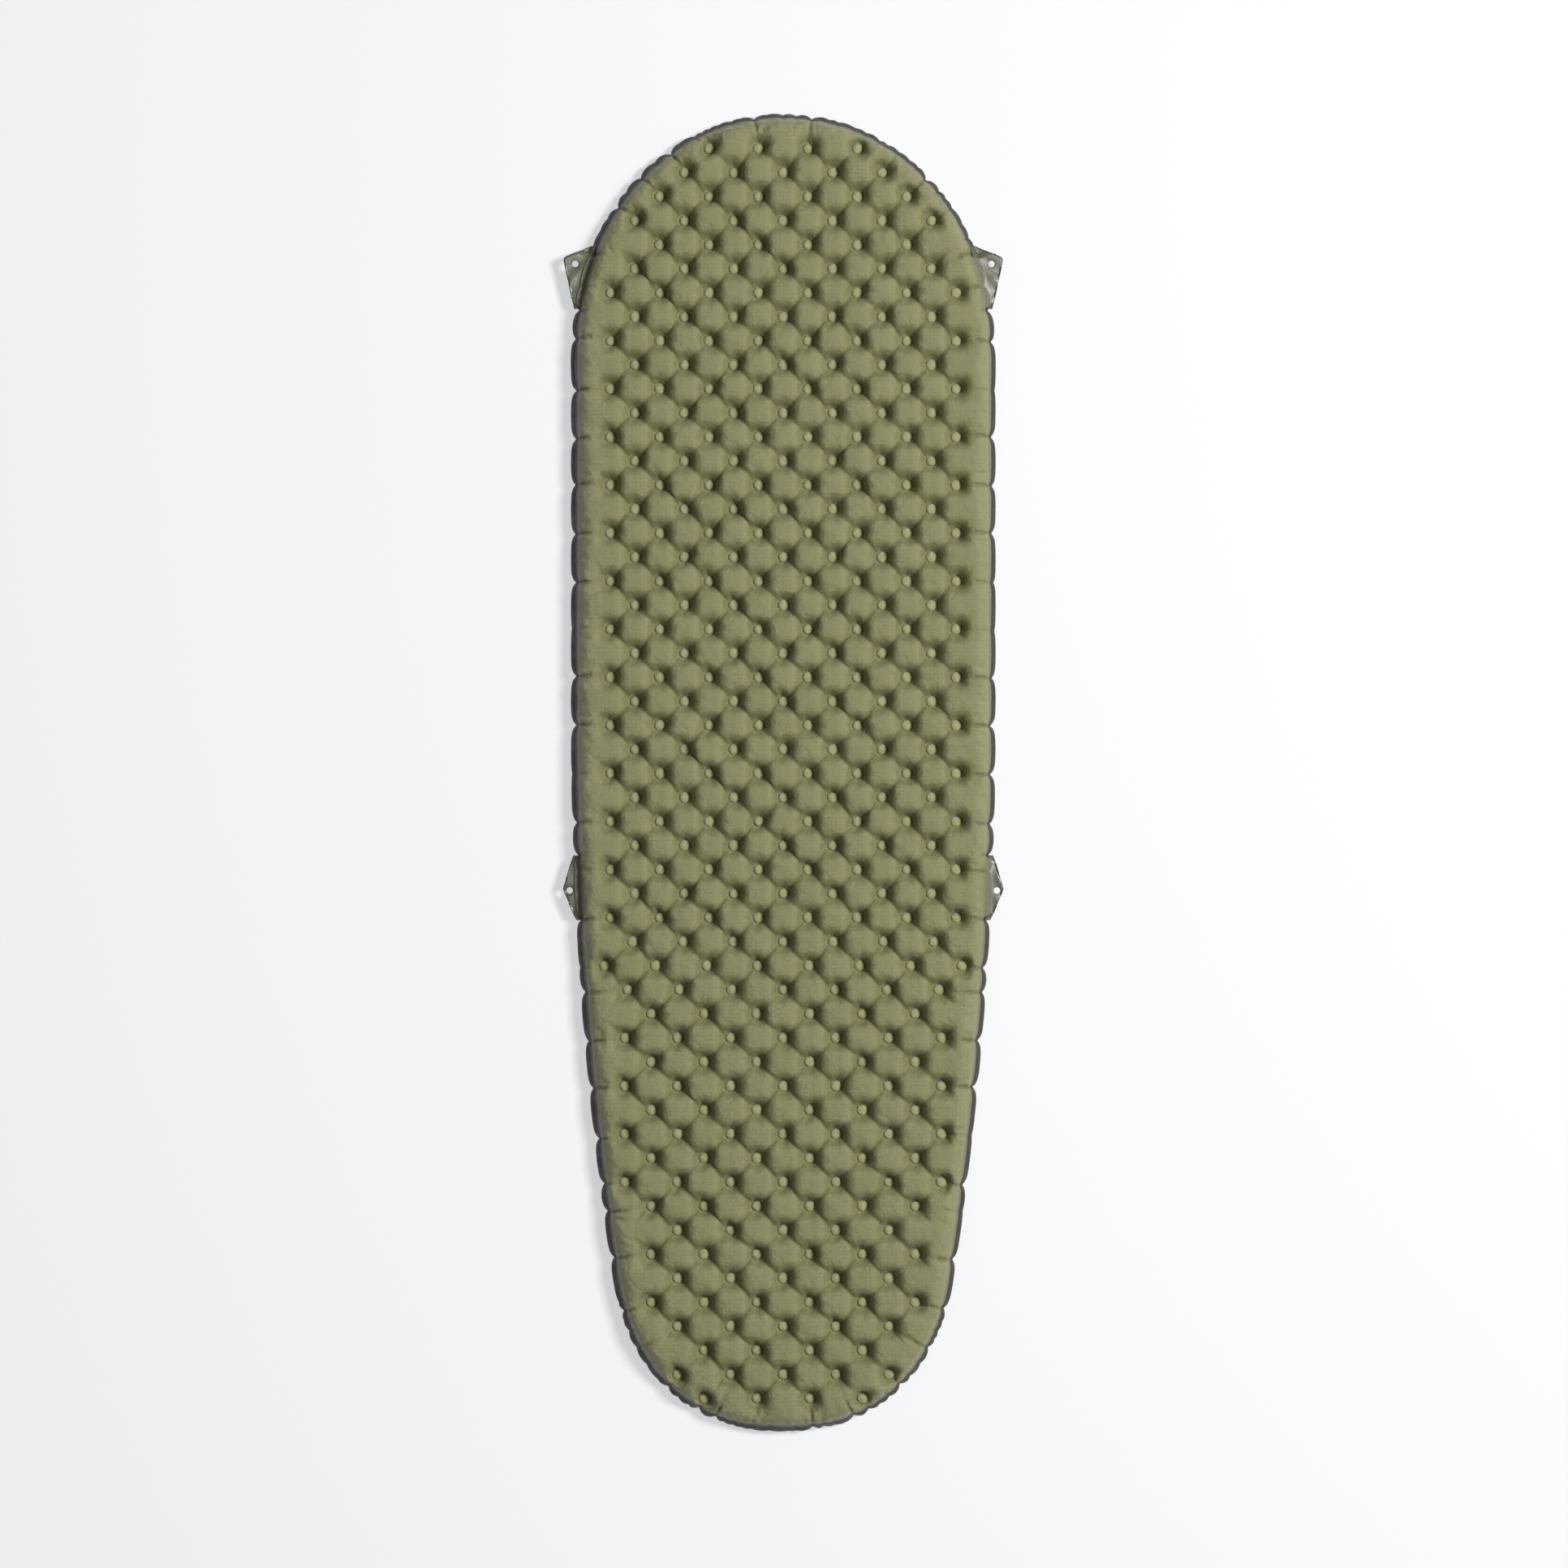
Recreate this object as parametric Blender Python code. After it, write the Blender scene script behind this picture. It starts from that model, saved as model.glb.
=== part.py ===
# Inflatable mummy-shaped sleeping pad: two welded fabric sheets, an insulating film,
# four tie-out tabs and a two-stage flat valve on the underside.
# Metres, +Z up. The pad lies flat, head towards +Y. The origin is under its middle, on the ground.

import math

import bmesh
import bpy
from mathutils import Matrix, Vector
from mathutils.geometry import delaunay_2d_cdt

# Outline of the inflated pad, welded flange included
PAD_LENGTH = 1.830
TORSO_HALF_WIDTH = 0.2947
PAD_THICKNESS = 0.055
HEAD_CAP_LENGTH = 0.334        # rounded head end
HEAD_CAP_POWER = 2.05
FOOT_CAP_LENGTH = 0.215        # rounded foot end
FOOT_CAP_POWER = 2.4
TAPER_START = 0.850            # from the head end
TAPER_LOSS = 0.0945            # half width that the taper takes off by the foot end
OUTLINE_POINTS = 96

# Sheets, flange and welds
FABRIC_WALL = 0.00025
FILM_WALL = 0.0002
GAP = 0.0003                   # between pieces that touch or are welded
FLANGE_WIDTH = 0.009
FILM_INSET = 0.004             # film edge inside the flange
TUBE_CREST_SHARE = 0.5         # where the side tube is highest, flange to nearest weld

# Staggered pattern of weld dots
FIRST_ROW = 0.0506             # from the head end
LAST_ROW_MARGIN = 0.045        # from the foot end
ROW_PITCH = 0.0333
TORSO_DOT_PITCH = 0.0684
LEG_DOT_PITCH = 0.0731
PITCH_CHANGE_START = 1.12      # from the head end
PITCH_CHANGE_END = 1.25
DOT_EDGE_MARGIN = 0.033        # least distance from a weld to the outline
REST_RADIUS = 0.080            # cells near the middle have a flat underside
REST_HALF = 0.009

# Tie-out tabs: distances from the head end, then sizes
TAB_WALL = 0.0006
TAB_TIP_RADIUS = 0.006
TAB_HOLE_RADIUS = 0.0046
TAB_HOLE_RIM = 0.0030           # film around the punched hole
TAB_HOLE_OFFSET = 0.30          # hole below the tip, as a share of its distance from the tip
TAB_ROOT_INSET = 0.0075        # how far the root reaches under the flange
SHOULDER_TAB_TOP = 0.184
SHOULDER_TAB_BOTTOM = 0.272
SHOULDER_TAB_TIP = 0.205
SHOULDER_TAB_REACH = 0.031
SHOULDER_TAB_HOLE_REACH = 0.0150
SIDE_TAB_TOP = 1.030
SIDE_TAB_BOTTOM = 1.120
SIDE_TAB_TIP = 1.076
SIDE_TAB_REACH = 0.0155
SIDE_TAB_HOLE_REACH = 0.0066

# Valve: place
VALVE_ROW = 9                  # in line with this row of welds
VALVE_EDGE_DISTANCE = 0.0447   # axis to the outline
VALVE_RECESS = 0.0090          # fabric around the valve, above the ground
VALVE_KEEPOUT = 0.030          # no weld nearer to the axis
# Valve: base
BASE_FLANGE_RADIUS = 0.0240
BASE_FLANGE_WALL = 0.0012
DISH_MARGIN = 0.0015
DUMP_BORE_RADIUS = 0.0135
NECK_WALL = 0.0015
NECK_HEIGHT = 0.0100           # above the base flange
BACKING_WALL = 0.0004
# Valve: deflation plug
LID_WALL = 0.0012
LID_OVERLAP = 0.0030           # lid beyond the bore
PLUG_WALL = 0.0018
PLUG_DEPTH = 0.0090            # from the lid's inner face
PLUG_HINGE_REACH = 0.0015      # hinge line beyond the lid's edge
PORT_RADIUS = 0.0065
PORT_WALL = 0.0015
SEAT_WALL = 0.0012
SEAT_LEDGE = 0.0015
HUB_RADIUS = 0.0024
SPOKE_WIDTH = 0.0016
SPOKES = 3
STRAP_WIDTH = 0.0090
PULL_WIDTH = 0.0080
PLUG_PULL_REACH = 0.0050       # pull tab beyond the lid
# Valve: seal rings
PLUG_SEAL_RADIUS = 0.0006
CAP_SEAL_RADIUS = 0.0005
PLUG_SEAL_DEPTH = 0.0030
CAP_SEAL_DEPTH = 0.0020
# Valve: one-way flap and its pin
FLAP_WALL = 0.0006
FLAP_LIFT = 0.0018
PIN_RADIUS = 0.0010
PIN_HEAD_RADIUS = 0.0020
PIN_HEAD_WALL = 0.0008
# Valve: inflation cap
CAP_WALL = 0.0012
CAP_OVERLAP = 0.0020
CAP_DEPTH = 0.0035
CAP_HINGE_REACH = 0.0015
CAP_STRAP_LENGTH = 0.0040
CAP_PULL_REACH = 0.0040

MID_PLANE = PAD_THICKNESS / 2
NECK_RADIUS = DUMP_BORE_RADIUS + NECK_WALL
NECK_HOLE_RADIUS = NECK_RADIUS + GAP   # in the fabric and its backing
RING_SEGMENTS = 32
SMALL_SEGMENTS = 16


# ---------- outline and weld pattern ----------

def cap_share(distance, length, power):
    """Share of the full width at a distance from a rounded end."""
    if distance >= length:
        return 1.0
    inward = 1.0 - max(distance, 0.0) / length
    return (1.0 - inward ** power) ** (1.0 / power)


def half_width(from_head):
    """Half width of the outline at a distance from the head end."""
    taper = max(0.0, (from_head - TAPER_START) / (PAD_LENGTH - TAPER_START))
    width = TORSO_HALF_WIDTH - TAPER_LOSS * taper ** 2
    head = cap_share(from_head, HEAD_CAP_LENGTH, HEAD_CAP_POWER)
    foot = cap_share(PAD_LENGTH - from_head, FOOT_CAP_LENGTH, FOOT_CAP_POWER)
    return width * head * foot


def along(from_head):
    """World Y of a distance from the head end."""
    return PAD_LENGTH / 2 - from_head


def right_side(steps=400):
    """Dense points down the right side, from the head end to the foot end."""
    points = []
    for step in range(steps + 1):
        from_head = PAD_LENGTH * (1.0 - math.cos(math.pi * step / steps)) / 2
        points.append(Vector((half_width(from_head), along(from_head))))
    return points


def resample(points, count):
    """Points at equal spacing along an open line, both ends kept."""
    lengths = [0.0]
    for before, after in zip(points, points[1:]):
        lengths.append(lengths[-1] + (after - before).length)
    result = []
    index = 0
    for step in range(count + 1):
        target = lengths[-1] * step / count
        while index < len(points) - 2 and lengths[index + 1] < target:
            index += 1
        span = lengths[index + 1] - lengths[index]
        share = (target - lengths[index]) / span
        result.append(points[index].lerp(points[index + 1], share))
    return result


def outline_loop():
    """Closed outline, clockwise seen from above, starting at the head end."""
    right = resample(right_side(), OUTLINE_POINTS // 2)
    left = [Vector((-point.x, point.y)) for point in reversed(right[1:-1])]
    return right + left


def inset_loop(loop, distances):
    """The loop moved inwards by a distance of its own at each point."""
    result = []
    count = len(loop)
    for index, point in enumerate(loop):
        chord = loop[(index + 1) % count] - loop[index - 1]
        inward = Vector((chord.y, -chord.x)).normalized()
        result.append(point + inward * distances[index])
    return result


def dot_pitch(from_head):
    """Spacing of the welds along a row; it widens once, over the hips."""
    share = (from_head - PITCH_CHANGE_START) / (PITCH_CHANGE_END - PITCH_CHANGE_START)
    share = min(1.0, max(0.0, share))
    return TORSO_DOT_PITCH + (LEG_DOT_PITCH - TORSO_DOT_PITCH) * share


def valve_axis():
    """Where the valve's axis meets the ground."""
    from_head = FIRST_ROW + VALVE_ROW * ROW_PITCH
    return Vector((VALVE_EDGE_DISTANCE - half_width(from_head), along(from_head)))


def weld_rows():
    """Rows of welds as dictionaries from half-pitch index to place."""
    axis = valve_axis()
    rows = []
    from_head = FIRST_ROW
    while from_head <= PAD_LENGTH - LAST_ROW_MARGIN + 1e-6:
        row = {}
        reach = half_width(from_head) - DOT_EDGE_MARGIN
        pitch = dot_pitch(from_head)
        parity = 1 - len(rows) % 2
        most = int(reach / (pitch / 2))
        for half_index in range(-most, most + 1):
            if half_index % 2 != parity:
                continue
            place = Vector((half_index * pitch / 2, along(from_head)))
            if (place - axis).length >= VALVE_KEEPOUT:
                row[half_index] = place
        rows.append(row)
        from_head += ROW_PITCH
    return rows


# ---------- meshes ----------

def new_object(name, mesh, material, origin=(0.0, 0.0, 0.0), parent=None):
    """Link a mesh made in world coordinates, with its origin moved to a point."""
    origin = Vector(origin)
    mesh.transform(Matrix.Translation(-origin))
    mesh.materials.append(material)
    obj = bpy.data.objects.new(name, mesh)
    bpy.context.scene.collection.objects.link(obj)
    obj.location = origin
    if parent is not None:
        obj.parent = parent
        obj.location = origin - parent.location
    return obj


def bmesh_to_mesh(name, bm):
    bmesh.ops.recalc_face_normals(bm, faces=bm.faces)
    mesh = bpy.data.meshes.new(name)
    bm.to_mesh(mesh)
    bm.free()
    return mesh


def thin_solid(name, points, triangles, outer, inner):
    """Closed shell between two heights given for each point of a flat triangle net."""
    bm = bmesh.new()
    top = [bm.verts.new((p.x, p.y, z)) for p, z in zip(points, outer)]
    low = [bm.verts.new((p.x, p.y, z)) for p, z in zip(points, inner)]
    uses = {}
    for tri in triangles:
        bm.faces.new([top[i] for i in tri])
        bm.faces.new([low[i] for i in reversed(tri)])
        for a, b in zip(tri, tri[1:] + tri[:1]):
            if (b, a) in uses:
                del uses[(b, a)]
            else:
                uses[(a, b)] = True
    for a, b in uses:
        bm.faces.new((top[b], top[a], low[a], low[b]))
    for vert in [v for v in bm.verts if not v.link_faces]:
        bm.verts.remove(vert)
    return bmesh_to_mesh(name, bm)


def turned(name, profile, centre, segments):
    """Solid turned about a vertical axis from a closed profile of (radius, height)."""
    bm = bmesh.new()
    rings = []
    for radius, height in profile:
        if radius < 1e-9:
            rings.append([bm.verts.new((centre.x, centre.y, height))])
            continue
        ring = []
        for step in range(segments):
            angle = 2 * math.pi * step / segments
            ring.append(bm.verts.new((centre.x + radius * math.cos(angle),
                                      centre.y + radius * math.sin(angle), height)))
        rings.append(ring)
    for first, second in zip(rings, rings[1:] + rings[:1]):
        if len(first) == 1 and len(second) == 1:
            continue
        for step in range(segments):
            after = (step + 1) % segments
            corners = [first[step % len(first)], first[after % len(first)],
                       second[after % len(second)], second[step % len(second)]]
            face = []
            for corner in corners:
                if corner not in face:
                    face.append(corner)
            bm.faces.new(face)
    return bmesh_to_mesh(name, bm)


def plate(name, outline, low, high):
    """Flat solid between two heights."""
    bm = bmesh.new()
    face = bm.faces.new([bm.verts.new((p.x, p.y, low)) for p in outline])
    lifted = bmesh.ops.extrude_face_region(bm, geom=[face])["geom"]
    verts = [part for part in lifted if isinstance(part, bmesh.types.BMVert)]
    bmesh.ops.translate(bm, verts=verts, vec=(0.0, 0.0, high - low))
    return bmesh_to_mesh(name, bm)


def arc(centre, radius, start, end, steps):
    """Points on an arc, angles in radians."""
    points = []
    for step in range(steps + 1):
        angle = start + (end - start) * step / steps
        points.append(centre + radius * Vector((math.cos(angle), math.sin(angle))))
    return points


def helper(name, mesh):
    """A shape that only cuts or joins, hidden in renders."""
    obj = bpy.data.objects.new(name, mesh)
    bpy.context.scene.collection.objects.link(obj)
    obj.hide_render = True
    obj.display_type = 'WIRE'
    return obj


def boolean(obj, other, operation):
    modifier = obj.modifiers.new(other.name, 'BOOLEAN')
    modifier.operation = operation
    modifier.solver = 'EXACT'
    modifier.object = other


def round_shading(obj, degrees=35.0):
    obj.data.shade_smooth()
    obj.data.set_sharp_from_angle(angle=math.radians(degrees))


def anchor(name, place):
    """Empty on a joint's axis that carries the pieces moving with it."""
    empty = bpy.data.objects.new(name, None)
    bpy.context.scene.collection.objects.link(empty)
    empty.empty_display_size = 0.01
    empty.location = place
    return empty


def material(name, color, roughness, metallic=0.0):
    result = bpy.data.materials.new(name)
    result.use_nodes = True
    shader = result.node_tree.nodes["Principled BSDF"]
    shader.inputs["Base Color"].default_value = (*color, 1.0)
    shader.inputs["Roughness"].default_value = roughness
    shader.inputs["Metallic"].default_value = metallic
    result.diffuse_color = (*color, 1.0)
    return result


# ---------- sheets ----------

class Net:
    """Flat net of points and constraint edges for one sheet, with a height kind per point."""

    def __init__(self):
        self.points = []
        self.kinds = []
        self.edges = []

    def add(self, point, kind):
        self.points.append(point)
        self.kinds.append(kind)
        return len(self.points) - 1

    def add_ring(self, ring, kind):
        indices = [self.add(point, kind) for point in ring]
        self.edges += list(zip(indices, indices[1:] + indices[:1]))

    def triangles(self):
        """Triangles between the points, counter-clockwise seen from above."""
        result = delaunay_2d_cdt(self.points, self.edges, [], 0, 1e-7, True)
        points, _, faces, origins = result[0], result[1], result[2], result[3]
        self.kinds = [self.kinds[found[0]] for found in origins]
        self.points = [Vector(point) for point in points]
        return [tuple(face) for face in faces]


def quilt_net(rows, loop, valve=None):
    """Net of a quilted sheet; with a valve it has the flat dish and the neck's hole."""
    net = Net()
    count = len(loop)
    welds = [place for row in rows for place in row.values()]
    net.add_ring(loop, "flange")
    net.add_ring(inset_loop(loop, [FLANGE_WIDTH] * count), "flange")
    dish = BASE_FLANGE_RADIUS + DISH_MARGIN

    def clear(place):
        return valve is None or (place - valve).length > dish + FLANGE_WIDTH

    nearest = [min((place - point).length for place in welds) for point in loop]
    insets = [FLANGE_WIDTH + TUBE_CREST_SHARE * (near - FLANGE_WIDTH) for near in nearest]
    for point in inset_loop(loop, insets):
        if clear(point):
            net.add(point, "crest")

    indices = [{key: net.add(place, "weld") for key, place in row.items()} for row in rows]
    for upper, lower in zip(indices, indices[1:]):
        for key, index in upper.items():
            for side in (-1, 1):
                if key + side in lower:
                    net.edges.append((index, lower[key + side]))
    for row in rows:
        for key, place in row.items():
            if key + 2 not in row:
                continue
            middle = (place + row[key + 2]) / 2
            if valve is not None and middle.length < REST_RADIUS:
                corners = [middle + Vector((x * REST_HALF, y * REST_HALF))
                           for x, y in ((1, 0), (0, 1), (-1, 0), (0, -1))]
                net.add_ring(corners, "crest")
            elif clear(middle):
                net.add(middle, "crest")
    if valve is not None:
        turn = 2 * math.pi
        net.add_ring(arc(valve, dish, 0.0, turn, RING_SEGMENTS)[:-1], "dish")
        net.add_ring(arc(valve, NECK_HOLE_RADIUS, 0.0, turn, RING_SEGMENTS)[:-1], "dish")
    return net


def make_sheets(rows, loop, fabric_top, fabric_bottom):
    """Top and bottom sheets: they meet at the flange and at every weld."""
    flange = GAP / 2
    weld = FILM_WALL / 2 + GAP
    crest = MID_PLANE - FABRIC_WALL
    valve = valve_axis()
    heights = {"flange": flange, "weld": weld, "crest": crest,
               "dish": MID_PLANE - VALVE_RECESS - FABRIC_WALL}

    net = quilt_net(rows, loop)
    triangles = net.triangles()
    inner = [MID_PLANE + heights[kind] for kind in net.kinds]
    outer = [height + FABRIC_WALL for height in inner]
    mesh = thin_solid("top_sheet", net.points, triangles, outer, inner)
    new_object("top_sheet", mesh, fabric_top)

    net = quilt_net(rows, loop, valve)
    triangles = []
    for tri in net.triangles():
        middle = sum((net.points[i] for i in tri), Vector((0.0, 0.0))) / 3
        if (middle - valve).length > NECK_HOLE_RADIUS:
            triangles.append(tri)
    inner = [MID_PLANE - heights[kind] for kind in net.kinds]
    outer = [height - FABRIC_WALL for height in inner]
    mesh = thin_solid("bottom_sheet", net.points, triangles, inner, outer)
    new_object("bottom_sheet", mesh, fabric_bottom)


def make_film(loop, foil):
    """Insulating film at mid height, held by the welds."""
    inset = inset_loop(loop, [FLANGE_WIDTH + FILM_INSET] * len(loop))
    mesh = plate("insulating_film", inset, MID_PLANE - FILM_WALL / 2, MID_PLANE + FILM_WALL / 2)
    new_object("insulating_film", mesh, foil)


# ---------- tie-out tabs ----------

def convex_hull(points):
    """Counter-clockwise hull of flat points."""
    ordered = sorted(points, key=lambda p: (p.x, p.y))
    halves = []
    for line in (ordered, list(reversed(ordered))):
        chain = []
        for point in line:
            while len(chain) > 1 and (chain[-1] - chain[-2]).cross(point - chain[-1]) <= 0:
                chain.pop()
            chain.append(point)
        halves.append(chain[:-1])
    return halves[0] + halves[1]


def make_tab(name, side, top, bottom, tip, reach, hole_reach, film):
    """Flat tab under the flange, with a rounded tip and a punched hole."""
    steps = 6
    root = []
    for step in range(steps + 1):
        from_head = top + (bottom - top) * step / steps
        root.append(Vector((half_width(from_head) - TAB_ROOT_INSET, along(from_head))))
    edge = half_width(tip)
    centre = Vector((edge + reach - TAB_TIP_RADIUS, along(tip)))
    below_tip = TAB_HOLE_OFFSET * (reach - hole_reach)
    hole_place = Vector((edge + hole_reach, along(tip) - below_tip))
    ends = [Vector((half_width(top), along(top))), Vector((half_width(bottom), along(bottom)))]
    rim = arc(hole_place, TAB_HOLE_RADIUS + TAB_HOLE_RIM, 0.0, 2 * math.pi, SMALL_SEGMENTS)
    tip_circle = arc(centre, TAB_TIP_RADIUS, 0.0, 2 * math.pi, 2 * SMALL_SEGMENTS)
    hull = convex_hull(ends + rim[:-1] + tip_circle[:-1])
    first = hull.index(ends[1])
    hull = hull[first:] + hull[:first]
    outer = hull[:hull.index(ends[0]) + 1]
    outline = [Vector((side * p.x, p.y)) for p in outer + root]
    high = MID_PLANE - GAP / 2 - FABRIC_WALL - GAP
    tab = new_object(name, plate(name, outline, high - TAB_WALL, high), film)
    hole_place.x *= side
    cut = [(0.0, high + TAB_WALL), (TAB_HOLE_RADIUS, high + TAB_WALL),
           (TAB_HOLE_RADIUS, high - 2 * TAB_WALL), (0.0, high - 2 * TAB_WALL)]
    mesh = turned(name + "_hole", cut, hole_place, SMALL_SEGMENTS)
    boolean(tab, helper(name + "_hole", mesh), 'DIFFERENCE')


# ---------- valve ----------

# Heights of the flat valve, from the fabric outwards to the ground
BASE_TOP = VALVE_RECESS - GAP
BASE_LOW = BASE_TOP - BASE_FLANGE_WALL
LID_TOP = BASE_LOW - GAP
LID_LOW = LID_TOP - LID_WALL
CAP_TOP = LID_LOW - GAP
CAP_LOW = CAP_TOP - CAP_WALL
SEAT_TOP = LID_TOP + PLUG_DEPTH
SEAT_LOW = SEAT_TOP - SEAT_WALL
LID_RADIUS = DUMP_BORE_RADIUS + LID_OVERLAP
CAP_RADIUS = PORT_RADIUS + CAP_OVERLAP
PLUG_HINGE = LID_RADIUS + PLUG_HINGE_REACH
CAP_HINGE = CAP_RADIUS + CAP_HINGE_REACH


def swing_radius(height, bore, bore_low, hinge, hinge_height):
    """Largest radius that swings out of a bore about a hinge line beside it."""
    start = bore_low - hinge_height
    depth = max(height, bore_low) - hinge_height
    return math.sqrt((hinge + bore - GAP) ** 2 + start ** 2 - depth ** 2) - hinge


def seal_profile(radius, height, thickness, steps=8):
    points = []
    for step in range(steps):
        angle = 2 * math.pi * step / steps
        points.append((radius + thickness * math.cos(angle), height + thickness * math.sin(angle)))
    return points


def bar(name, axis, x_from, x_to, width, low, high, round_end=False):
    """Flat bar along X from the valve's axis; a round end is at x_to."""
    half = width / 2
    sign = math.copysign(1.0, x_to - x_from)
    if round_end:
        centre = Vector((x_to - sign * half, 0.0))
        end = arc(centre, half, -sign * math.pi / 2, sign * math.pi / 2, 8)
        if sign < 0:
            end = arc(centre, half, -math.pi / 2, -3 * math.pi / 2, 8)
    else:
        end = [Vector((x_to, -half)), Vector((x_to, half))]
    outline = [Vector((x_from, -half))] + end + [Vector((x_from, half))]
    return plate(name, [axis + point for point in outline], low, high)


def make_valve_base(axis, tpu, film):
    neck_top = BASE_TOP + NECK_HEIGHT
    profile = [(DUMP_BORE_RADIUS, BASE_LOW), (BASE_FLANGE_RADIUS, BASE_LOW),
               (BASE_FLANGE_RADIUS, BASE_TOP), (NECK_RADIUS, BASE_TOP),
               (NECK_RADIUS, neck_top), (DUMP_BORE_RADIUS, neck_top)]
    mesh = turned("valve_base", profile, axis, RING_SEGMENTS)
    round_shading(new_object("valve_base", mesh, tpu))

    low = VALVE_RECESS + FABRIC_WALL + GAP
    high = low + BACKING_WALL
    profile = [(NECK_HOLE_RADIUS, low), (BASE_FLANGE_RADIUS, low),
               (BASE_FLANGE_RADIUS, high), (NECK_HOLE_RADIUS, high)]
    mesh = turned("valve_backing_ring", profile, axis, RING_SEGMENTS)
    round_shading(new_object("valve_backing_ring", mesh, film))

    mesh = bar("plug_strap", axis, PLUG_HINGE + GAP / 2, BASE_FLANGE_RADIUS, STRAP_WIDTH,
               LID_LOW, LID_TOP)
    new_object("plug_strap", mesh, tpu)


def make_plug(axis, hinge, tpu, rubber):
    """Deflation plug with its seal ring; it carries the inflation port and its strap."""
    port_outer = PORT_RADIUS + PORT_WALL
    groove_low = LID_TOP + PLUG_SEAL_DEPTH - PLUG_SEAL_RADIUS - GAP
    groove_high = LID_TOP + PLUG_SEAL_DEPTH + PLUG_SEAL_RADIUS + GAP

    def plug_radius(height):
        return swing_radius(height, DUMP_BORE_RADIUS, BASE_LOW, PLUG_HINGE, LID_LOW)

    seal_outer = plug_radius(groove_high)
    seal_middle = seal_outer - PLUG_SEAL_RADIUS
    groove_radius = seal_middle - PLUG_SEAL_RADIUS - GAP
    inner = groove_radius - PLUG_WALL / 2
    profile = [(PORT_RADIUS, LID_LOW), (LID_RADIUS, LID_LOW), (LID_RADIUS, LID_TOP),
               (plug_radius(LID_TOP), LID_TOP), (plug_radius(groove_low), groove_low),
               (groove_radius, groove_low), (groove_radius, groove_high),
               (plug_radius(groove_high), groove_high), (plug_radius(SEAT_LOW), SEAT_LOW),
               (plug_radius(SEAT_TOP), SEAT_TOP), (inner, SEAT_TOP), (inner, LID_TOP),
               (port_outer, LID_TOP), (port_outer, SEAT_TOP), (PIN_RADIUS + GAP, SEAT_TOP),
               (PIN_RADIUS + GAP, SEAT_LOW), (PORT_RADIUS, SEAT_LOW)]
    mesh = turned("dump_plug", profile, axis, RING_SEGMENTS)
    plug = new_object("dump_plug", mesh, tpu, hinge.location, hinge)
    round_shading(plug)

    mesh = bar("plug_ear", axis, DUMP_BORE_RADIUS, PLUG_HINGE - GAP / 2, STRAP_WIDTH,
               LID_LOW, LID_TOP)
    boolean(plug, helper("plug_ear", mesh), 'UNION')
    mesh = bar("plug_pull", axis, -DUMP_BORE_RADIUS, -LID_RADIUS - PLUG_PULL_REACH, PULL_WIDTH,
               LID_LOW, LID_TOP, round_end=True)
    boolean(plug, helper("plug_pull", mesh), 'UNION')

    for spoke in range(SPOKES):
        window = spoke_window(axis, spoke)
        mesh = plate("air_window", window, SEAT_LOW - SEAT_WALL, SEAT_TOP + SEAT_WALL)
        boolean(plug, helper("air_window_%d" % (spoke + 1), mesh), 'DIFFERENCE')

    mesh = turned("plug_seal", seal_profile(seal_middle, LID_TOP + PLUG_SEAL_DEPTH,
                                            PLUG_SEAL_RADIUS), axis, RING_SEGMENTS)
    round_shading(new_object("plug_seal", mesh, rubber, hinge.location, hinge), 60.0)

    start = -CAP_HINGE - GAP / 2
    mesh = bar("cap_strap", axis, start, start - CAP_STRAP_LENGTH, PULL_WIDTH, CAP_LOW, CAP_TOP)
    new_object("cap_strap", mesh, tpu, hinge.location, hinge)


def spoke_window(axis, spoke):
    """One air window of the seat, between two spokes."""
    sweep = 2 * math.pi / SPOKES
    start = spoke * sweep
    outer = PORT_RADIUS - SEAT_LEDGE
    outer_trim = SPOKE_WIDTH / 2 / outer
    inner_trim = SPOKE_WIDTH / 2 / HUB_RADIUS
    points = arc(axis, outer, start + outer_trim, start + sweep - outer_trim, 8)
    points += arc(axis, HUB_RADIUS, start + sweep - inner_trim, start + inner_trim, 5)
    return points


def make_flap(axis, hinge, flap_axis, rubber, tpu):
    """One-way flap on the inner side of the seat, and the pin it slides on."""
    low = SEAT_TOP + GAP
    radius = PORT_RADIUS - GAP
    bore = PIN_RADIUS + GAP
    profile = [(bore, low), (radius, low), (radius, low + FLAP_WALL), (bore, low + FLAP_WALL)]
    mesh = turned("check_flap", profile, axis, RING_SEGMENTS)
    flap = new_object("check_flap", mesh, rubber, flap_axis.location, flap_axis)
    round_shading(flap)

    head = low + FLAP_WALL + FLAP_LIFT + GAP
    foot = SEAT_LOW - GAP
    profile = [(0.0, foot - PIN_HEAD_WALL), (PIN_HEAD_RADIUS, foot - PIN_HEAD_WALL),
               (PIN_HEAD_RADIUS, foot), (PIN_RADIUS, foot), (PIN_RADIUS, head),
               (PIN_HEAD_RADIUS, head), (PIN_HEAD_RADIUS, head + PIN_HEAD_WALL),
               (0.0, head + PIN_HEAD_WALL)]
    mesh = turned("flap_pin", profile, axis, SMALL_SEGMENTS)
    round_shading(new_object("flap_pin", mesh, tpu, hinge.location, hinge))


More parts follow.
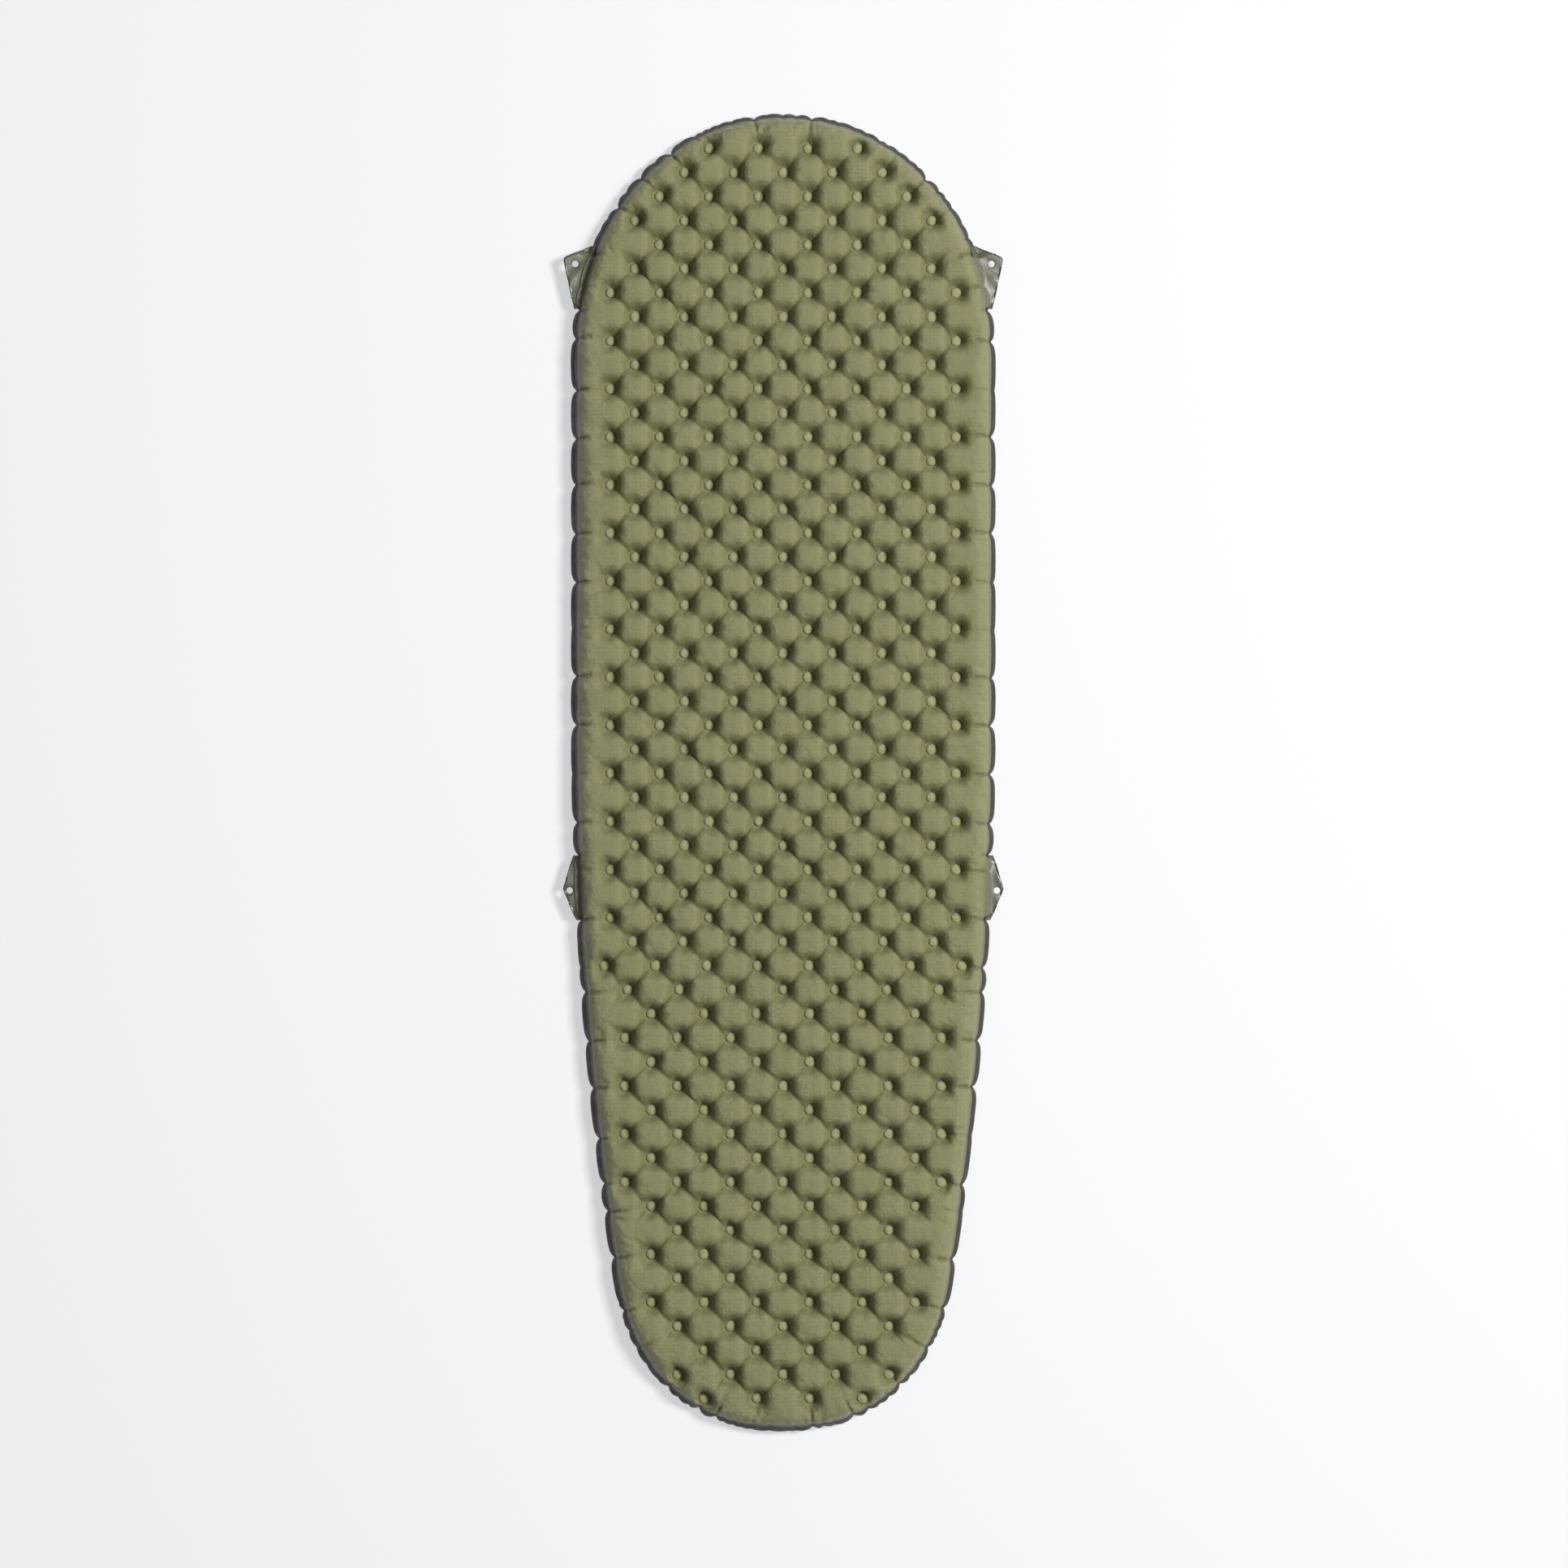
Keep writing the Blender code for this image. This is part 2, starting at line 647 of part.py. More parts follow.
def make_cap(axis, cap_hinge, tpu, rubber):
    """Inflation cap: a lid with a stem that plugs the port, and its seal ring."""
    groove_low = CAP_TOP + CAP_SEAL_DEPTH - CAP_SEAL_RADIUS - GAP
    groove_high = CAP_TOP + CAP_SEAL_DEPTH + CAP_SEAL_RADIUS + GAP
    top = CAP_TOP + CAP_DEPTH

    def stem_radius(height):
        return swing_radius(height, PORT_RADIUS, LID_LOW, CAP_HINGE, CAP_LOW)

    seal_middle = stem_radius(groove_high) - CAP_SEAL_RADIUS
    groove_radius = seal_middle - CAP_SEAL_RADIUS - GAP
    profile = [(0.0, CAP_LOW), (CAP_RADIUS, CAP_LOW), (CAP_RADIUS, CAP_TOP),
               (stem_radius(CAP_TOP), CAP_TOP), (stem_radius(groove_low), groove_low),
               (groove_radius, groove_low), (groove_radius, groove_high),
               (stem_radius(groove_high), groove_high), (stem_radius(top), top), (0.0, top)]
    mesh = turned("inflation_cap", profile, axis, RING_SEGMENTS)
    cap = new_object("inflation_cap", mesh, tpu, cap_hinge.location, cap_hinge)
    round_shading(cap)

    mesh = bar("cap_ear", axis, -PORT_RADIUS, -CAP_HINGE + GAP / 2, PULL_WIDTH, CAP_LOW, CAP_TOP)
    boolean(cap, helper("cap_ear", mesh), 'UNION')
    mesh = bar("cap_pull", axis, PORT_RADIUS, CAP_RADIUS + CAP_PULL_REACH, PULL_WIDTH,
               CAP_LOW, CAP_TOP, round_end=True)
    boolean(cap, helper("cap_pull", mesh), 'UNION')

    mesh = turned("cap_seal", seal_profile(seal_middle, CAP_TOP + CAP_SEAL_DEPTH,
                                           CAP_SEAL_RADIUS), axis, RING_SEGMENTS)
    round_shading(new_object("cap_seal", mesh, rubber, cap_hinge.location, cap_hinge), 60.0)


# ---------- the pad ----------

def main():
    for obj in list(bpy.data.objects):
        bpy.data.objects.remove(obj, do_unlink=True)

    fabric_top = material("olive_fabric", (0.205, 0.207, 0.098), 0.45)
    fabric_bottom = material("dark_fabric", (0.045, 0.050, 0.036), 0.55)
    film = material("tab_film", (0.120, 0.125, 0.085), 0.50)
    foil = material("foil_film", (0.700, 0.700, 0.720), 0.25, 0.9)
    tpu = material("valve_tpu", (0.030, 0.031, 0.030), 0.45)
    rubber = material("seal_rubber", (0.180, 0.182, 0.175), 0.60)

    rows = weld_rows()
    loop = outline_loop()
    make_sheets(rows, loop, fabric_top, fabric_bottom)
    make_film(loop, foil)
    for side, word in ((-1, "left"), (1, "right")):
        make_tab("shoulder_tab_" + word, side, SHOULDER_TAB_TOP, SHOULDER_TAB_BOTTOM,
                 SHOULDER_TAB_TIP, SHOULDER_TAB_REACH, SHOULDER_TAB_HOLE_REACH, film)
        make_tab("side_tab_" + word, side, SIDE_TAB_TOP, SIDE_TAB_BOTTOM,
                 SIDE_TAB_TIP, SIDE_TAB_REACH, SIDE_TAB_HOLE_REACH, film)

    axis = valve_axis()
    hinge = anchor("plug_hinge_line", Vector((axis.x + PLUG_HINGE, axis.y, LID_LOW)))
    cap_hinge = anchor("cap_hinge_line", Vector((axis.x - CAP_HINGE, axis.y, CAP_LOW)))
    flap_axis = anchor("flap_slide_axis", Vector((axis.x, axis.y, SEAT_TOP)))
    make_valve_base(axis, tpu, film)
    make_plug(axis, hinge, tpu, rubber)
    make_flap(axis, hinge, flap_axis, rubber, tpu)
    make_cap(axis, cap_hinge, tpu, rubber)


main()
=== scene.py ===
import math

import bmesh
import bpy
import numpy as np
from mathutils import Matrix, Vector, noise
from mathutils.geometry import delaunay_2d_cdt
from mathutils.kdtree import KDTree


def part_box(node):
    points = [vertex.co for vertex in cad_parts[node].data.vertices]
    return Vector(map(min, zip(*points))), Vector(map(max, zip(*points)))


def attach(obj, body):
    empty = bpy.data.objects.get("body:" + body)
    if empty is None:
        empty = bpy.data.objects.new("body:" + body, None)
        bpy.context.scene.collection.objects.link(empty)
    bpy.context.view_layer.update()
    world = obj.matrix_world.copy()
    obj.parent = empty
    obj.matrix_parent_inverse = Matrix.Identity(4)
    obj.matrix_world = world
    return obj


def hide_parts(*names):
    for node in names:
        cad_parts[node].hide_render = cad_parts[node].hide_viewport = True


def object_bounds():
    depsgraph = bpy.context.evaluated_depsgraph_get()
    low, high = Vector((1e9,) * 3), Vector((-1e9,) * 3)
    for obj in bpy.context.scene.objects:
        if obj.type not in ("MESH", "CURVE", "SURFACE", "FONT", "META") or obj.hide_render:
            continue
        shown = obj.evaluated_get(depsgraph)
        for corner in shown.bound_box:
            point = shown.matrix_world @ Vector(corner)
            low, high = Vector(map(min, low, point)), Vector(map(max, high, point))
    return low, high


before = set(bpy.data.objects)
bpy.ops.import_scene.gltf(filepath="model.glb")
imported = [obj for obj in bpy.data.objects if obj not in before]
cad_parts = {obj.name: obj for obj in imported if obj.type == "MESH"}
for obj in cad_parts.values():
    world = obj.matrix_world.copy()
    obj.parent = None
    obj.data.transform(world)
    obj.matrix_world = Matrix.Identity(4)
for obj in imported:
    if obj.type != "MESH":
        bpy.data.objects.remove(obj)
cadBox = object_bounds()
print("frame loaded")


# The pad's outline and its welds, read from the frame.
padLayout = {
    "weldLevel": 0.00065,        # weld dots of the frame's top sheet, above the mid plane
    "levelSlack": 0.00006,
    "outlineSlack": 0.0015,      # flange points this near the hull are on the outline
    "spanPoints": 40,            # fine outline points for each frame point
    "rowSlack": 0.002,           # welds whose y differs by less are in one row
    "chordReach": 3,             # outline points on each side that give its direction
    "flangeWidth": 0.009,
    "outerDotInset": 0.070,      # welds nearer the outline than this pull creases into the rim
}

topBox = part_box("top_sheet")
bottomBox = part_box("bottom_sheet")
padThickness = topBox[1].z - bottomBox[0].z
midPlane = bottomBox[0].z + padThickness / 2
crownHeight = padThickness / 2


def nodePoints(name):
    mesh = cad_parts[name].data
    flat = np.empty(len(mesh.vertices) * 3, np.float32)
    mesh.vertices.foreach_get("co", flat)
    return np.unique(flat.reshape(-1, 3).astype(float).round(6), axis=0)


def hullOf(points):
    # outer hull of flat points, counter-clockwise
    ordered = sorted(map(tuple, points))
    halves = []
    for line in (ordered, ordered[::-1]):
        chain = []
        for point in line:
            while len(chain) > 1:
                a = np.subtract(chain[-1], chain[-2])
                b = np.subtract(point, chain[-1])
                if a[0] * b[1] - a[1] * b[0] > 0:
                    break
                chain.pop()
            chain.append(point)
        halves += chain[:-1]
    return np.array(halves)


def distanceToLoop(points, loop):
    ends = np.roll(loop, -1, axis=0)
    best = np.full(len(points), 1e9)
    for a, b in zip(loop, ends):
        span = b - a
        share = np.clip(((points - a) @ span) / (span @ span), 0, 1)
        best = np.minimum(best, np.linalg.norm(points - a - share[:, None] * span, axis=1))
    return best


def smoothStep(value, low, high):
    share = np.clip((value - low) / (high - low), 0, 1)
    return share * share * (3 - 2 * share)


def smoothLoop(points, perSpan):
    # closed Catmull-Rom curve through equally spaced points
    p0, p1, p2, p3 = (np.roll(points, shift, axis=0) for shift in (1, 0, -1, -2))
    rows = []
    for t in np.arange(perSpan) / perSpan:
        rows.append(0.5 * (2 * p1 + (p2 - p0) * t + (2 * p0 - 5 * p1 + 4 * p2 - p3) * t ** 2
                           + (3 * p1 - p0 - 3 * p2 + p3) * t ** 3))
    return np.stack(rows, axis=1).reshape(-1, 2)


def readOutline():
    points = nodePoints("top_sheet")
    low = points[points[:, 2] < midPlane + padLayout["weldLevel"] / 2, :2]
    low = np.unique(low.round(5), axis=0)
    rim = low[distanceToLoop(low, hullOf(low)) < padLayout["outlineSlack"]]
    rim = rim[np.argsort(np.arctan2(rim[:, 1], rim[:, 0]))]
    spans = np.linalg.norm(np.roll(rim, -1, axis=0) - rim, axis=1)
    even = []                    # a straight stretch has points only at its ends
    for start, end, span in zip(rim, np.roll(rim, -1, axis=0), spans):
        pieces = max(1, int(round(span / np.median(spans))))
        even += [start + (end - start) * k / pieces for k in range(pieces)]
    return smoothLoop(np.array(even), padLayout["spanPoints"])


def readWelds():
    points = nodePoints("top_sheet")
    height = points[:, 2] - midPlane
    found = points[np.abs(height - padLayout["weldLevel"]) < padLayout["levelSlack"], :2]
    levels = np.unique(found[:, 1].round(3))
    rows = [found[np.abs(found[:, 1] - level) < padLayout["rowSlack"]] for level in levels[::-1]]
    return [np.sort(row[:, 0]) for row in rows], np.array([row[:, 1].mean() for row in rows])


outline = readOutline()
outlineStep = np.linalg.norm(np.roll(outline, -1, axis=0) - outline, axis=1)
outlineRun = np.concatenate([[0.0], np.cumsum(outlineStep)[:-1]])
outlineLength = outlineStep.sum()
chordReach = padLayout["chordReach"]
chord = np.roll(outline, -chordReach, axis=0) - np.roll(outline, chordReach, axis=0)
outlineInward = np.stack([-chord[:, 1], chord[:, 0]], axis=1)
outlineInward /= np.linalg.norm(outlineInward, axis=1)[:, None]

weldRows, rowY = readWelds()
rowPitch = (rowY[0] - rowY[-1]) / (len(rowY) - 1)
halfPitches = np.array([np.diff(row).mean() / 2 for row in weldRows])
welds = np.array([(x, y) for row, y in zip(weldRows, rowY) for x in row])
print("outline", len(outline), "points,", len(welds), "welds in", len(rowY), "rows")


def flatTree(places):
    tree = KDTree(len(places))
    for index, (x, y) in enumerate(places):
        tree.insert((x, y, 0.0), index)
    tree.balance()
    return tree


outlineTree = flatTree(outline)
weldTree = flatTree(welds)


def halfPitchAt(y):
    return np.interp(-y, -rowY, halfPitches)


def rimPlace(points):
    # inset from the outline, and run along it, of flat points
    inset = np.empty(len(points))
    run = np.empty(len(points))
    for index, (x, y) in enumerate(points):
        _, nearest, _ = outlineTree.find((x, y, 0.0))
        offset = np.array((x, y)) - outline[nearest]
        inset[index] = offset @ outlineInward[nearest]
        tangent = np.array((outlineInward[nearest][1], -outlineInward[nearest][0]))
        run[index] = (outlineRun[nearest] + offset @ tangent) % outlineLength
    return inset, run


# Flat net of a sheet: a grid between the welds and rings along the rim.
netValues = {
    "gather": 0.66,              # how far the lattice lines gather at the creases, below 1
    "rimRings": (0.0, 0.0030, 0.0062, 0.0090, 0.0112, 0.0140, 0.0175, 0.0215, 0.0260),
    "gridMargin": 0.0280,        # the grid stays this far inside the outline
}


def latticePlace(a, b):
    # flat place of diagonal lattice coordinates that are whole at every weld
    u = a - b
    v = a + b - 1
    y = rowY[0] - v * rowPitch
    return u * halfPitchAt(y), y


def latticeOf(x, y):
    u = x / halfPitchAt(y)
    v = (rowY[0] - y) / rowPitch
    return (u + v + 1) / 2, (v - u + 1) / 2


def flatNet(cells, rimPoints):
    # returns flat points and faces of the whole sheet
    lines = np.arange(-8 * cells, (len(rowY) + 6) * cells) / cells
    lines -= netValues["gather"] * np.sin(2 * math.pi * lines) / (2 * math.pi)
    first, second = np.meshgrid(lines, lines, indexing="ij")
    x, y = latticePlace(first, second)
    widest = outline[:, 0].max()
    near = (np.abs(x) < widest) & (np.abs(y) < outline[:, 1].max())
    inset = np.full(x.shape, -1.0)
    inset[near], _ = rimPlace(np.stack([x[near], y[near]], axis=1))
    keep = inset > netValues["gridMargin"]
    cellKept = keep[:-1, :-1] & keep[1:, :-1] & keep[1:, 1:] & keep[:-1, 1:]
    i, j = np.nonzero(cellKept)
    quads = np.stack([i * x.shape[1] + j, i * x.shape[1] + j + 1,
                      (i + 1) * x.shape[1] + j + 1, (i + 1) * x.shape[1] + j], axis=1)
    used = np.unique(quads)
    number = np.full(x.size, -1)
    number[used] = np.arange(len(used))
    points = [tuple(p) for p in np.stack([x.ravel()[used], y.ravel()[used]], axis=1)]
    faces = [tuple(q) for q in number[quads]]

    run = np.arange(rimPoints) * outlineLength / rimPoints
    place = np.searchsorted(outlineRun, run) % len(outline)
    rings = []
    for ringInset in netValues["rimRings"]:
        ring = outline[place] + outlineInward[place] * ringInset
        rings.append(list(range(len(points), len(points) + rimPoints)))
        points += [tuple(p) for p in ring]
    for outer, inner in zip(rings, rings[1:]):
        for k in range(rimPoints):
            after = (k + 1) % rimPoints
            faces.append((outer[k], outer[after], inner[after], inner[k]))

    edgeUse = {}
    for q in number[quads]:
        for a, b in zip(q, np.roll(q, -1)):
            if (b, a) in edgeUse:
                del edgeUse[(b, a)]
            else:
                edgeUse[(a, b)] = True
    border = list(edgeUse)
    innerRing = rings[-1]
    stripIds = sorted({p for edge in border for p in edge}) + innerRing
    local = {p: k for k, p in enumerate(stripIds)}
    edges = [(local[a], local[b]) for a, b in border]
    edges += [(local[a], local[b]) for a, b in zip(innerRing, innerRing[1:] + innerRing[:1])]
    strip = delaunay_2d_cdt([Vector(points[p]) for p in stripIds], edges, [], 0, 1e-7, True)
    gridSide = set(range(len(stripIds) - len(innerRing)))
    ringSide = set(range(len(gridSide), len(stripIds)))
    kept = []
    for tri in strip[2]:
        ids = [strip[3][corner][0] for corner in tri]
        middle = np.mean([points[stripIds[k]] for k in ids], axis=0)
        if all(k in ringSide for k in ids):
            if rimPlace(middle[None])[0][0] < netValues["rimRings"][-1]:
                continue
        elif all(k in gridSide for k in ids):
            column, line = np.searchsorted(lines, latticeOf(*middle)) - 1
            if cellKept[column, line]:
                continue
        kept.append(tuple(stripIds[k] for k in ids))
    return np.array(points), faces + kept


# How high the inflated fabric stands over each flat point.
quiltValues = {
    "tubeRadius": 0.038,         # side tube, from the flange inwards
    "weldRadius": 0.0080,
    "pitWidth": 0.0050,          # how fast the fabric climbs out of a weld
    "pitPower": 1.12,
    "seamDepth": 0.0068,         # creases between neighbouring welds
    "seamWidth": 0.0024,
    "seamBow": 0.0010,
    "luckTerms": (12.9898, 78.233, 37.719, 43758.5453),     # scatter the creases' strengths
    "shoulder": 0.0007,          # low ridge on both sides of a crease
    "shoulderReach": 0.0062,
    "shoulderWidth": 0.002,
    "shadeLineWidth": 0.0018,         # painted shade line along a crease
    "pillowDepth": 0.0028,       # rounding of each pillow towards its creases
    "pillowWidth": 0.0075,
    "rimCreaseDepth": 0.0085,    # creases from the outer welds to the notches in the rim
    "rimCreaseWidth": 0.0024,
    "rimCreaseStart": (0.009, 0.016),    # inset where such a crease begins and is full
    "creaseClear": 0.009,        # it stops this far before its weld
    "creaseFade": 0.002,
    "seamInset": 0.040,          # creases between welds begin this far inside the outline
    "seamFade": 0.016,
    "discEdge": (0.9, 1.35),     # weld radii over which the fabric leaves the mid plane
    "flangeEdge": (0.0086, 0.0105),
}

rimValues = {
    "seed": 5,
    "deepShare": 0.70,           # share of the outer welds that notch the rim deeply
    "deepStrength": (0.70, 1.0),
    "faintStrength": (0.15, 0.40),
    "notchStray": 0.0015,        # how far a notch strays along the rim from its weld
    "notchDepth": 0.0080,
    "notchReach": 0.0062,
    "notchSpread": 0.05,         # no notch is felt farther along the rim than this
    "edgeReach": 2.2,            # flange widths that a notch draws inwards
    "puckerSpacing": 0.0190,     # small puckers round the head and the foot
    "puckerStrength": (0.15, 0.50),
    "puckerClear": 0.009,        # from a pucker to the notches beside it
    "capShare": 0.80,            # of the half length, where the puckers begin
    "droop": 0.0095,             # how far the flange's edge hangs
    "flutter": 0.0016,
    "flutterWaves": ((61, 0.3, 0.5), (97, 1.9, 0.35), (173, 4.1, 0.3), (29, 2.2, 0.5)),
    "tabHold": 0.85,             # share of droop and flutter that a tab takes away
    "tabFade": 0.008,
    "tabNotch": (0.9, 0.030),    # strength and reach of the notch at each end of a tab
}


tabNodes = ("shoulder_tab_left", "shoulder_tab_right", "side_tab_left", "side_tab_right")


def runGap(run, other):
    return (run - other + outlineLength / 2) % outlineLength - outlineLength / 2


def makeNotches():
    # run along the rim and strength of each notch
    draw = np.random.default_rng(rimValues["seed"])
    inset, run = rimPlace(welds)
    outer = np.nonzero(inset < padLayout["outerDotInset"])[0]
    notches = []
    for k in outer:
        deep = draw.random() < rimValues["deepShare"]
        strength = draw.uniform(*rimValues["deepStrength" if deep else "faintStrength"])
        notches.append((run[k] + draw.normal(0.0, rimValues["notchStray"]), strength, inset[k]))
    place = 0.0
    while place < outlineLength:
        place += rimValues["puckerSpacing"] * draw.uniform(0.6, 1.5)
        strength = draw.uniform(*rimValues["puckerStrength"])
        y = np.interp(place % outlineLength, outlineRun, outline[:, 1])
        clear = min(abs(runGap(place, other)) for other, _, _ in notches)
        onCap = abs(y) > rimValues["capShare"] * outline[:, 1].max()
        if onCap and clear > rimValues["puckerClear"]:
            notches.append((place, strength, padLayout["flangeWidth"] * 3))
    return np.array(notches)


def tabSpans():
    # where along the rim each tab starts and ends
    spans = []
    for node in tabNodes:
        low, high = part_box(node)
        side = math.copysign(outline[:, 0].max(), low.x + high.x)
        _, ends = rimPlace(np.array([(side, low.y), (side, high.y)]))
        spans.append((min(ends), max(ends)))
    return spans


tabRuns = tabSpans()
notches = np.vstack([makeNotches()] + [
    [(end, *rimValues["tabNotch"]) for end in span] for span in tabRuns])


def tabShare(run):
    # 1 where a tab holds the flange flat, 0 away from the tabs
    share = np.zeros(len(run))
    for low, high in tabRuns:
        gap = np.abs(runGap(run, (low + high) / 2))
        half = (high - low) / 2
        share = np.maximum(share, 1 - smoothStep(gap, half - rimValues["tabFade"], half))
    return share


def rimCreases(inset, run):
    # how strongly notches pull the edge in, and the depth share of the creases behind them
    pull = np.zeros(len(run))
    crease = np.zeros(len(run))
    flange = padLayout["flangeWidth"]
    for place, strength, reach in notches:
        gap = np.abs(runGap(run, place))
        near = gap < rimValues["notchSpread"]
        pull[near] = np.maximum(pull[near], strength * np.exp(-gap[near] / rimValues["notchReach"]))
        end = reach - quiltValues["creaseClear"]
        fade = np.clip((end - inset[near]) / max(end - flange, quiltValues["creaseFade"]), 0, 1)
        line = np.exp(-(gap[near] / quiltValues["rimCreaseWidth"]) ** 2)
        crease[near] = np.maximum(crease[near], strength ** 0.6 * line * fade ** 0.5)
    return pull, crease


def seamDistances(points):
    # for both directions: distance to the nearest line between welds, a fixed random share for
    # that stretch of it, and how far along the stretch the point is
    a, b = latticeOf(points[:, 0], points[:, 1])
    size = math.hypot(halfPitches[0], rowPitch)
    result = []
    lineTerm, cellTerm, saltTerm, spreadTerm = quiltValues["luckTerms"]
    for along, across, salt in ((a, b, 1), (b, a, 2)):
        line = np.round(along)
        cell = np.floor(across)
        mix = np.sin(line * lineTerm + cell * cellTerm + salt * saltTerm) * spreadTerm
        luck = mix - np.floor(mix)
        bow = quiltValues["seamBow"] * (2 * luck - 1) * np.sin(2 * math.pi * (across - cell))
        result.append((np.abs((along - line) * size + bow), luck, across - cell))
    return result


def pitShare(points, nearest=4):
    # 1 at a weld, falling to 0 on the pillows
    share = np.zeros(len(points))
    closest = np.empty(len(points))
    for index, (x, y) in enumerate(points):
        found = weldTree.find_n((x, y, 0.0), nearest)
        closest[index] = found[0][2]
        clear = 1.0
        for _, _, distance in found:
            reach = max(distance - quiltValues["weldRadius"], 0.0) / quiltValues["pitWidth"]
            clear *= 1.0 - math.exp(-reach ** quiltValues["pitPower"])
        share[index] = 1.0 - clear
    return share, closest


def seamShare(points, inset):
    # creases between welds, none outside the outer welds: their depth, deeper towards the welds,
    # the wide hollow round them, their painted shade line and the low ridges beside them
    total, soft, mark, ridge = np.zeros((4, len(points)))
    inside = np.clip((inset - quiltValues["seamInset"]) / quiltValues["seamFade"], 0, 1)
    for gap, luck, place in seamDistances(points):
        ends = np.abs(place - 0.5) * 2
        strength = (0.50 + 0.50 * luck) * (0.62 + 0.38 * ends ** 2)
        total = np.maximum(total, strength * np.exp(-gap / quiltValues["seamWidth"]))
        soft = np.maximum(soft, np.exp(-(gap / quiltValues["pillowWidth"]) ** 2))
        mark = np.maximum(mark, (0.6 + 0.4 * luck) * np.exp(-(gap / quiltValues["shadeLineWidth"]) ** 2))
        shoulder = (gap - quiltValues["shoulderReach"]) / quiltValues["shoulderWidth"]
        ridge = np.maximum(ridge, np.exp(-shoulder ** 2))
    return total * inside, soft * inside, mark * inside, ridge * inside


def tubeShare(inset):
    rise = np.clip((inset - padLayout["flangeWidth"]) / quiltValues["tubeRadius"], 0, 1)
    return np.sqrt(1.0 - (1.0 - rise) ** 2)


def startHeights(points, inset):
    pit, closest = pitShare(points)
    _, soft, _, _ = seamShare(points, inset)
    height = crownHeight * tubeShare(inset) * (1.0 - pit)
    height -= quiltValues["pillowDepth"] * soft * (1.0 - pit)
    return np.maximum(height, 0.0), closest


# The two sheets.
clothValues = {
    "cells": 8,
    "rimPoints": 1100,
    "pressure": 20.0,
    "slack": 0.040,              # extra cloth between the welds
    "tension": 15.0,
    "bending": 0.2,
    "quality": 5,
    "frames": 20,
    "mostMove": 0.006,           # no point moves farther than this from its starting shape
    "heldWeld": 1.1,             # weld radii that the weld holds
    "heldSlack": 0.0002,
    "fabricWall": 0.00025,
    "sheetGap": 0.00015,         # from the mid plane to each sheet at the flange
    "flatTop": 0.85,             # share of the crown height above which pillows flatten
    "dishReach": (1.08, 1.75),   # valve flange radii where the recess ends and the quilting is full
    "neckSnap": 0.0022,          # points this near the neck's hole are drawn to its edge
    "topTrim": 0.0018,           # the top sheet's edge, inside the bottom sheet's
    "rimMark": (0.9, 1.15),      # flange widths over which the rim's colour ends
}


def meshFrom(name, points, faces):
    mesh = bpy.data.meshes.new(name)
    mesh.from_pydata([tuple(p) for p in points], [], faces)
    mesh.update()
    return mesh


def addObject(name, mesh, materials=()):
    obj = bpy.data.objects.new(name, mesh)
    bpy.context.scene.collection.objects.link(obj)
    for item in materials:
        mesh.materials.append(item)
    return obj


def positions(mesh):
    flat = np.empty(len(mesh.vertices) * 3)
    mesh.vertices.foreach_get("co", flat)
    return flat.reshape(-1, 3)


def evaluatedMesh(obj):
    depsgraph = bpy.context.evaluated_depsgraph_get()
    return bpy.data.meshes.new_from_object(obj.evaluated_get(depsgraph))


def inflate(points, faces, height, held):
    # air pressure on one sheet, held at its welds and flange; returns the moved points
    start = np.column_stack([points, height])
    obj = addObject("inflating_sheet", meshFrom("inflating_sheet", start, faces))
    pins = obj.vertex_groups.new(name="welded")
    pins.add([int(k) for k in np.nonzero(held)[0]], 1.0, "REPLACE")
    cloth = obj.modifiers.new("air", "CLOTH")
    settings = cloth.settings
    settings.vertex_group_mass = "welded"
    settings.quality = clothValues["quality"]
    settings.use_pressure = True
    settings.uniform_pressure_force = clothValues["pressure"]
    settings.tension_stiffness = clothValues["tension"]
    settings.compression_stiffness = clothValues["tension"]
    settings.shear_stiffness = clothValues["tension"] / 3
    settings.bending_stiffness = clothValues["bending"]
    settings.shrink_min = -clothValues["slack"]
    settings.effector_weights.gravity = 0.0
    cloth.collision_settings.use_collision = False
    cloth.point_cache.frame_start = 1
    cloth.point_cache.frame_end = clothValues["frames"]
    for step in range(1, clothValues["frames"] + 1):
        bpy.context.scene.frame_set(step)
    moved = positions(evaluatedMesh(obj))
    bpy.data.objects.remove(obj)
    bpy.context.scene.frame_set(1)
    move = moved - start
    far = np.linalg.norm(move, axis=1)
    most = clothValues["mostMove"]
    scale = np.where(far > 1e-9, most * np.tanh(far / most) / np.maximum(far, 1e-9), 1.0)
    return start + move * scale[:, None]


detailValues = {
    "seed": 3,
    "smoothingReach": (0.007, 0.019),    # near a weld the fabric keeps its funnel shape
    "rimSmoothing": 0.02,
    "wrinkleHeight": 0.0010,
    "wrinkleSize": 0.011,
    "pleatHeight": 0.0008,       # short pleats that run out of each weld
    "pleatPlace": 0.0115,
    "pleatReach": 0.0080,
    "pleatNarrowing": 1.8,
    "pleatCount": (5, 9),        # fewest, and one more than the most
}


def refined(name, points, faces, places):
    # one subdivision; each point keeps its flat place
    mesh = meshFrom(name, points, faces)
    flat = mesh.attributes.new("flatPlace", "FLOAT_VECTOR", "POINT")
    flat.data.foreach_set("vector", np.column_stack([places, np.zeros(len(places))]).ravel())
    obj = addObject(name, mesh)
    levels = obj.modifiers.new("finer", "SUBSURF")
    levels.levels = 1
    levels.render_levels = 1
    finer = evaluatedMesh(obj)
    bpy.data.objects.remove(obj)
    values = np.empty(len(finer.vertices) * 3)
    finer.attributes["flatPlace"].data.foreach_get("vector", values)
    return finer, values.reshape(-1, 3)[:, :2]


